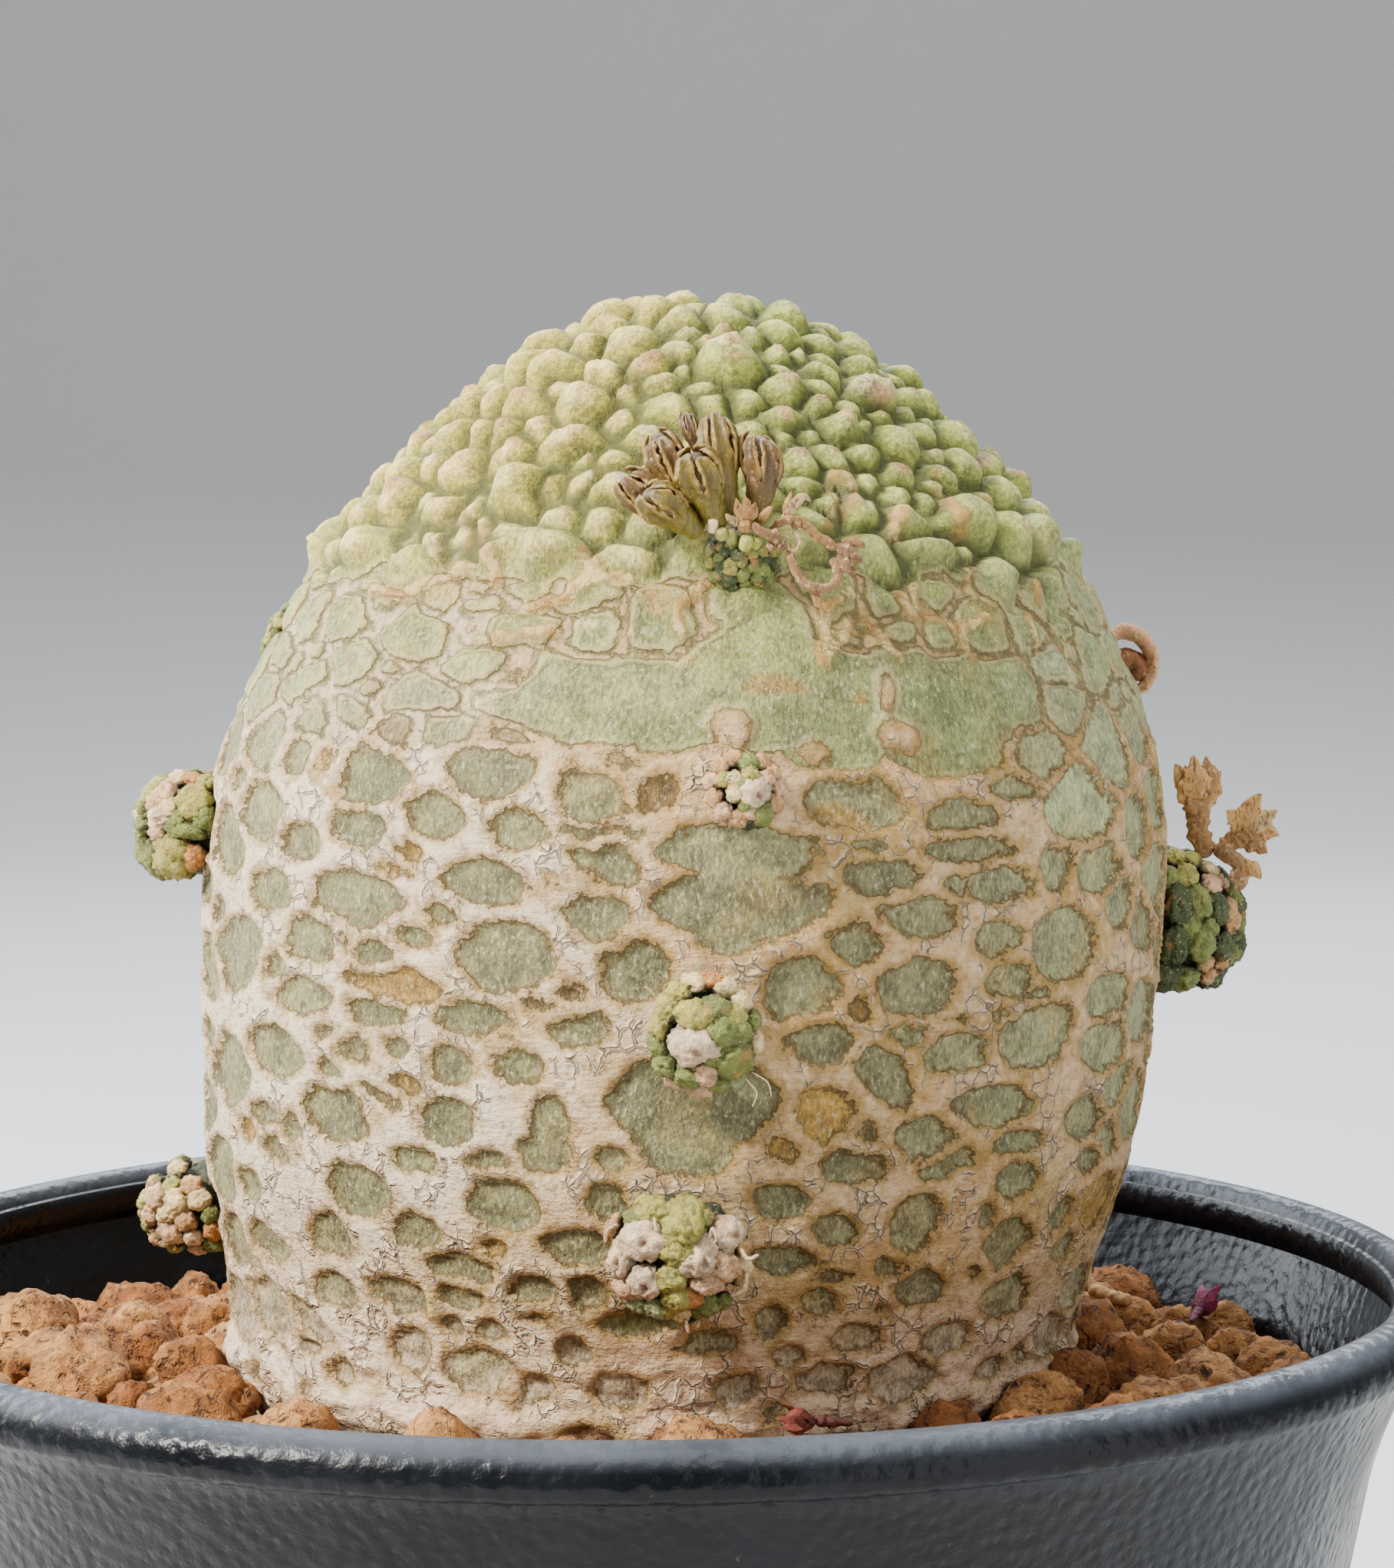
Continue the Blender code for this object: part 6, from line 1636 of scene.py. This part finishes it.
bud_olive, tree, shader = new_finish("bud_olive", 0.46)
place = object_millimetres(tree)
tint = kept(tree, "tint", "Color")
streak = grain_of(tree, object_millimetres(tree, (1, 1, 4)), 0.3, 4, 0.6)
shades = sum_of(tree, 0.72, times(tree, spread(tree, streak, 0.36, 0.64), 0.5))
tint = shaded(tree, tint, shades)
flecks = spread(tree, grain_of(tree, place, 0.2, 2, 0.6), 0.6, 0.7)
tint = blend_colours(tree, times(tree, flecks, 0.3), tint, paint(206, 180, 116))
tree.links.new(tint, shader.inputs["Base Color"])
stand_out(tree, shader, streak, 0.12, strength=0.8)
piece = assembled("buds_front", forms)
show(piece, bud_olive, "bud_olive", "buds_front_1")

# Dried flowers
# Spent flowers still hang on two cushions: shrivelled stalks and curled papery petals, peach
# where the light has bleached them and dusky pink where they are crumpled.

DRIED_PAINTS = paint_box(
    peach=(200, 150, 86), tan=(160, 118, 68), pink=(150, 112, 72), dusk=(124, 90, 60),
    pale=(198, 168, 114), brown=(98, 60, 38),
)
# Parts of the dried flowers by the front buds: right, forward and up from the cushion's middle;
# half-widths along the part, thickness as a share, wrinkling, tone.
DRIED_FRONT = (
    (((0.2, 2.4, 1.9), (0.2, 2.8, 2.6)), (0.4, 0.5), 1.0, 0.1, "peach"),
    (((0.2, 2.8, 2.5), (-0.1, 3.0, 3.1), (-0.3, 3.2, 3.8)), (0.35, 0.4, 0.05), 0.3, 0.1, "peach"),
    (((0.3, 2.8, 2.5), (0.3, 2.9, 3.3), (0.2, 3.1, 4.0)), (0.35, 0.45, 0.05), 0.3, 0.1, "peach"),
    (((0.4, 2.8, 2.5), (0.7, 3.0, 3.1), (0.8, 3.3, 3.6)), (0.3, 0.4, 0.05), 0.3, 0.1, "tan"),
    (((0.0, 2.7, 2.4), (-0.6, 3.1, 2.6), (-0.9, 3.3, 2.9)), (0.25, 0.3, 0.1), 0.4, 0.1, "pale"),
    (((0.5, 2.6, 2.35), (1.2, 2.9, 1.9), (2.3, 2.5, 1.3)), (0.3, 0.34, 0.4), 0.8, 0.15, "pink"),
    (((1.7, 2.5, 1.6), (2.1, 2.9, 1.9)), (0.3, 0.32), 1.0, 0.15, "pink"),
    (((2.1, 2.4, 1.2), (2.5, 2.8, 1.0)), (0.3, 0.3), 1.0, 0.15, "dusk"),
    (((1.6, 2.4, 1.2), (1.8, 2.8, 0.8)), (0.28, 0.28), 1.0, 0.15, "pink"),
    (((1.1, 2.2, 2.4), (1.4, 2.7, 2.9), (1.8, 2.9, 3.3)), (0.25, 0.35, 0.15), 0.5, 0.1, "peach"),
    (((2.6, 2.0, 1.6), (2.7, 2.5, 1.0), (3.1, 2.5, 0.8), (3.4, 2.3, 1.3), (3.1, 2.2, 1.8),
      (2.7, 2.1, 1.7)), (0.1, 0.13, 0.13, 0.13, 0.1), 1.0, 0.05, "pale"),
    (((2.4, 2.0, 2.4), (3.0, 2.5, 3.4), (3.6, 2.7, 3.9), (4.0, 2.4, 3.6)),
     (0.2, 0.4, 0.35, 0.08), 0.3, 0.1, "pale"),
    (((2.6, 2.0, 2.6), (2.7, 2.5, 3.5), (2.9, 2.5, 4.2)), (0.2, 0.35, 0.06), 0.3, 0.1, "peach"),
    (((3.0, 1.9, 2.2), (3.3, 2.4, 2.5)), (0.35, 0.38), 0.9, 0.15, "tan"),
    (((1.6, 2.2, 2.0), (2.8, 2.3, 2.6), (3.6, 2.1, 2.3), (4.6, 2.0, 1.5), (5.7, 1.9, 0.8)),
     (0.25, 0.32, 0.34, 0.33, 0.36), 0.85, 0.12, "tan"),
    (((5.4, 1.9, 1.0), (6.3, 2.3, 0.7), (7.0, 2.2, 0.1)), (0.4, 0.5, 0.15), 0.45, 0.15, "dusk"),
    (((5.6, 1.9, 0.6), (6.2, 2.5, -0.1), (6.6, 2.4, -0.9)), (0.4, 0.5, 0.12), 0.45, 0.15, "dusk"),
    (((5.8, 1.8, 1.1), (6.6, 1.9, 1.3), (7.2, 2.0, 0.9)), (0.35, 0.4, 0.1), 0.4, 0.15, "pink"),
    (((5.3, 1.9, 0.4), (5.6, 2.4, -0.6), (5.3, 2.5, -1.2)), (0.35, 0.42, 0.12), 0.45, 0.15, "pink"),
    (((2.7, 2.2, 1.3), (2.9, 2.6, 0.3), (3.3, 2.7, -0.6), (3.9, 2.7, -1.2), (4.6, 2.6, -1.4),
      (5.2, 2.5, -1.2), (5.6, 2.4, -0.7), (5.7, 2.2, 0.0)), (0.22, 0.32, 0.36, 0.36, 0.34, 0.28),
     0.7, 0.12, "pink"),
    (((4.2, 2.4, -1.5), (4.4, 2.7, -2.2), (4.9, 2.8, -2.6)), (0.25, 0.3, 0.06), 0.35, 0.1, "tan"),
)
# The ones on the right cushion: right, forward and up from its middle on the skin.
DRIED_RIGHT = (
    (((3.6, 0.0, 4.2), (3.0, 0.2, 5.8), (2.8, 0.3, 8.2)), (0.55, 0.6, 0.75), 0.9, 0.12, "tan"),
    (((2.6, 0.2, 7.6), (1.9, 0.5, 9.3), (1.3, 0.9, 10.4)), (0.5, 0.7, 0.12), 0.35, 0.12, "peach"),
    (((2.8, 0.4, 7.6), (2.6, 0.9, 9.6), (2.4, 1.2, 11.0)), (0.5, 0.75, 0.1), 0.35, 0.12, "peach"),
    (((3.0, 0.3, 7.6), (3.4, 0.5, 9.5), (3.3, 0.8, 10.9)), (0.5, 0.7, 0.1), 0.35, 0.12, "tan"),
    (((3.0, 0.2, 7.4), (3.8, 0.1, 8.8), (4.4, 0.0, 9.9)), (0.45, 0.6, 0.1), 0.35, 0.12, "peach"),
    (((2.8, 0.0, 7.4), (2.6, -0.6, 9.0), (2.2, -1.0, 10.2)), (0.45, 0.6, 0.1), 0.35, 0.12, "tan"),
    (((4.0, 0.0, 4.4), (5.2, 0.3, 5.3), (6.3, 0.5, 6.0)), (0.5, 0.5, 0.7), 0.9, 0.12, "tan"),
    (((6.0, 0.5, 5.9), (6.2, 0.9, 7.4), (6.9, 1.1, 8.5)), (0.45, 0.65, 0.08), 0.35, 0.12, "peach"),
    (((6.2, 0.5, 6.0), (7.4, 0.7, 7.0), (8.0, 0.9, 7.4)), (0.45, 0.65, 0.08), 0.35, 0.12, "pale"),
    (((6.2, 0.4, 5.8), (7.4, 0.4, 6.0), (8.2, 0.5, 5.7)), (0.45, 0.6, 0.08), 0.35, 0.12, "peach"),
    (((6.0, 0.3, 5.6), (6.8, 0.9, 5.0), (7.3, 1.2, 4.6)), (0.4, 0.55, 0.08), 0.35, 0.12, "tan"),
    (((5.8, 0.4, 6.0), (5.2, 0.9, 6.9), (4.6, 1.2, 7.4)), (0.4, 0.55, 0.1), 0.35, 0.12, "peach"),
    (((4.4, 0.2, 4.8), (5.0, 1.2, 4.3), (5.6, 1.6, 3.6)), (0.45, 0.5, 0.4), 0.8, 0.12, "pink"),
    (((5.3, 1.5, 3.8), (6.2, 1.8, 3.6), (6.8, 1.9, 3.0)), (0.4, 0.5, 0.08), 0.35, 0.12, "peach"),
    (((5.2, 1.5, 3.7), (5.4, 2.0, 2.8), (5.1, 2.3, 2.2)), (0.4, 0.5, 0.08), 0.35, 0.12, "pink"),
)


def dried_forms(parts, middle, first_seed, fullness):
    """Wrinkled stalks and petals, paler along their edges and brown in their folds."""
    forms = []
    for number, (route, widths, thickness, wrinkle, tone) in enumerate(parts):
        stops = middle + np.array(route) * (1, -1, 1)
        seed = first_seed + 1.7 * number
        widths = [fullness * width for width in widths]
        shaped, faces, share, around = grown_along(
            stops, widths, thickness, flat_side=(0.1, -1, 0.05), seed=seed, wrinkle=1.6 * wrinkle
        )
        shown = DRIED_PAINTS[tone]
        tint = shown * (0.7 + 0.4 * np.abs(np.cos(around)))[:, None]
        tint = tinted(tint, DRIED_PAINTS["brown"], 0.45 * smooth_step(0.25, 0.0, share))
        forms.append((shaped, faces, tint))
    return forms


dried_flower, tree, shader = new_finish("dried_flower", 0.82)
place = object_millimetres(tree)
tint = kept(tree, "tint", "Color")
crumple = grain_of(tree, place, 0.45, 4, 0.65)
veins = grain_of(tree, object_millimetres(tree, (1, 1, 3)), 0.2, 3, 0.6)
tint = blend_colours(tree, spread(tree, crumple, 0.54, 0.68, 0.0, 0.6), tint, paint(222, 192, 138))
tint = blend_colours(tree, spread(tree, veins, 0.48, 0.36, 0.0, 0.8), tint, paint(96, 64, 38))
tree.links.new(tint, shader.inputs["Base Color"])
stand_out(tree, shader, sum_of(tree, crumple, times(tree, veins, 0.6)), 0.2)

front_middle = skin_frame(*skin_spot(*TOP_HEAD))[0]
piece = assembled("withered_front", dried_forms(DRIED_FRONT, front_middle, 1.0, 0.85))
show(piece, dried_flower, "dried_flower", "dried_front_1")
right_middle = skin_frame(*skin_spot(0, 103.4, 1))[0]
piece = assembled("withered_right", dried_forms(DRIED_RIGHT, right_middle, 60.0, 1.3))
show(piece, dried_flower, "dried_flower", "dried_right_2")

# Fallen flowers and stalk
# Two shrivelled flowers, one dark red and one magenta, and a forked bit of dry stalk have
# dropped on the clay grains and lie loose there.

FALLEN_PETALS = 6


def fallen_flower(node, tones, turn_deg, seed):
    """A short stalk with a crumpled cup of petals, laid where the CAD node lies."""
    low, high = (np.array(corner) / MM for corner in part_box(node))
    middle, extent = (low + high) / 2, high - low
    length = 0.95 * max(extent[0], extent[1])
    heading = np.array((math.cos(math.radians(turn_deg)), math.sin(math.radians(turn_deg)), 0.12))
    start, cup = middle - 0.5 * length * heading, middle + 0.05 * length * heading
    draw = random.Random(seed)
    forms = []
    dark, bright = (pigment(*rgb) for rgb in tones)
    shaped, faces, share, around = grown_along(
        (start, cup), (0.2, 0.28, 0.45), 0.9, seed=seed, wrinkle=0.15
    )
    forms.append((shaped, faces, dark))
    side = np.cross(heading, (0, 0, 1))
    for number in range(FALLEN_PETALS):
        around_stalk = 2 * math.pi * number / FALLEN_PETALS + draw.uniform(-0.3, 0.3)
        aside = math.cos(around_stalk) * side + math.sin(around_stalk) * np.array((0, 0, 1))
        bend = cup + 0.28 * length * heading + 0.16 * length * aside
        tip = cup + 0.45 * length * heading + draw.uniform(0.08, 0.34) * length * aside
        shaped, faces, share, around = grown_along(
            (cup, bend, tip), (0.3, 0.5, 0.1), 0.3, flat_side=aside, seed=seed + number, wrinkle=0.2
        )
        forms.append((shaped, faces, tinted(dark, bright, share)))
    return forms


def papery(name, roughness, light, deep):
    """A finish for shrivelled tissue: its own tint, bleached on folds and dark in wrinkles."""
    finish, tree, shader = new_finish(name, roughness)
    place = object_millimetres(tree)
    tint = kept(tree, "tint", "Color")
    crumple = grain_of(tree, place, 0.4, 4, 0.65)
    tint = blend_colours(tree, spread(tree, crumple, 0.54, 0.7, 0.0, 0.6), tint, light)
    tint = blend_colours(tree, spread(tree, crumple, 0.46, 0.32, 0.0, 0.7), tint, deep)
    tree.links.new(tint, shader.inputs["Base Color"])
    stand_out(tree, shader, crumple, 0.2)
    return finish


dark_petal = papery("dark_red_petal", 0.8, paint(150, 84, 60), paint(38, 14, 12))
magenta_petal = papery("magenta_petal", 0.75, paint(176, 70, 104), paint(56, 8, 30))
dry_stalk = papery("dry_stalk", 0.85, paint(232, 200, 150), paint(112, 72, 42))
reds, magentas = ((74, 26, 18), (120, 52, 36)), ((84, 14, 42), (136, 30, 72))
piece = assembled("red_flower", fallen_flower("fallen_flower_front", reds, 200, 3))
show(piece, dark_petal, "fallen_flower_dark", "fallen_flower_front")
piece = assembled("magenta_flower", fallen_flower("fallen_flower_right", magentas, 70, 9))
show(piece, magenta_petal, "fallen_flower_magenta", "fallen_flower_right")

low, high = (np.array(corner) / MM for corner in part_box("fallen_stub_right"))
middle = (low + high) / 2
forms = []
for route, widths in (
    (((2.2, -1.8, -0.1), (0.6, -0.5, 0.1), (-0.4, 0.4, 0.4)), (0.55, 0.5, 0.62)),
    (((-0.2, 0.2, 0.3), (-1.2, 1.3, 0.9), (-2.2, 2.0, 1.9)), (0.5, 0.42, 0.3)),
    (((-0.2, 0.2, 0.3), (-0.5, 1.2, 1.2), (-0.3, 1.9, 2.6)), (0.5, 0.4, 0.32)),
):
    stops = middle + np.array(route)
    shaped, faces, share, around = grown_along(stops, widths, 0.9, seed=12.0, wrinkle=0.12)
    forms.append((shaped, faces, pigment(204, 158, 104) * (0.8 + 0.3 * share[:, None])))
piece = assembled("stalk_stub", forms)
show(piece, dry_stalk, "fallen_stalk", "fallen_stub_right")
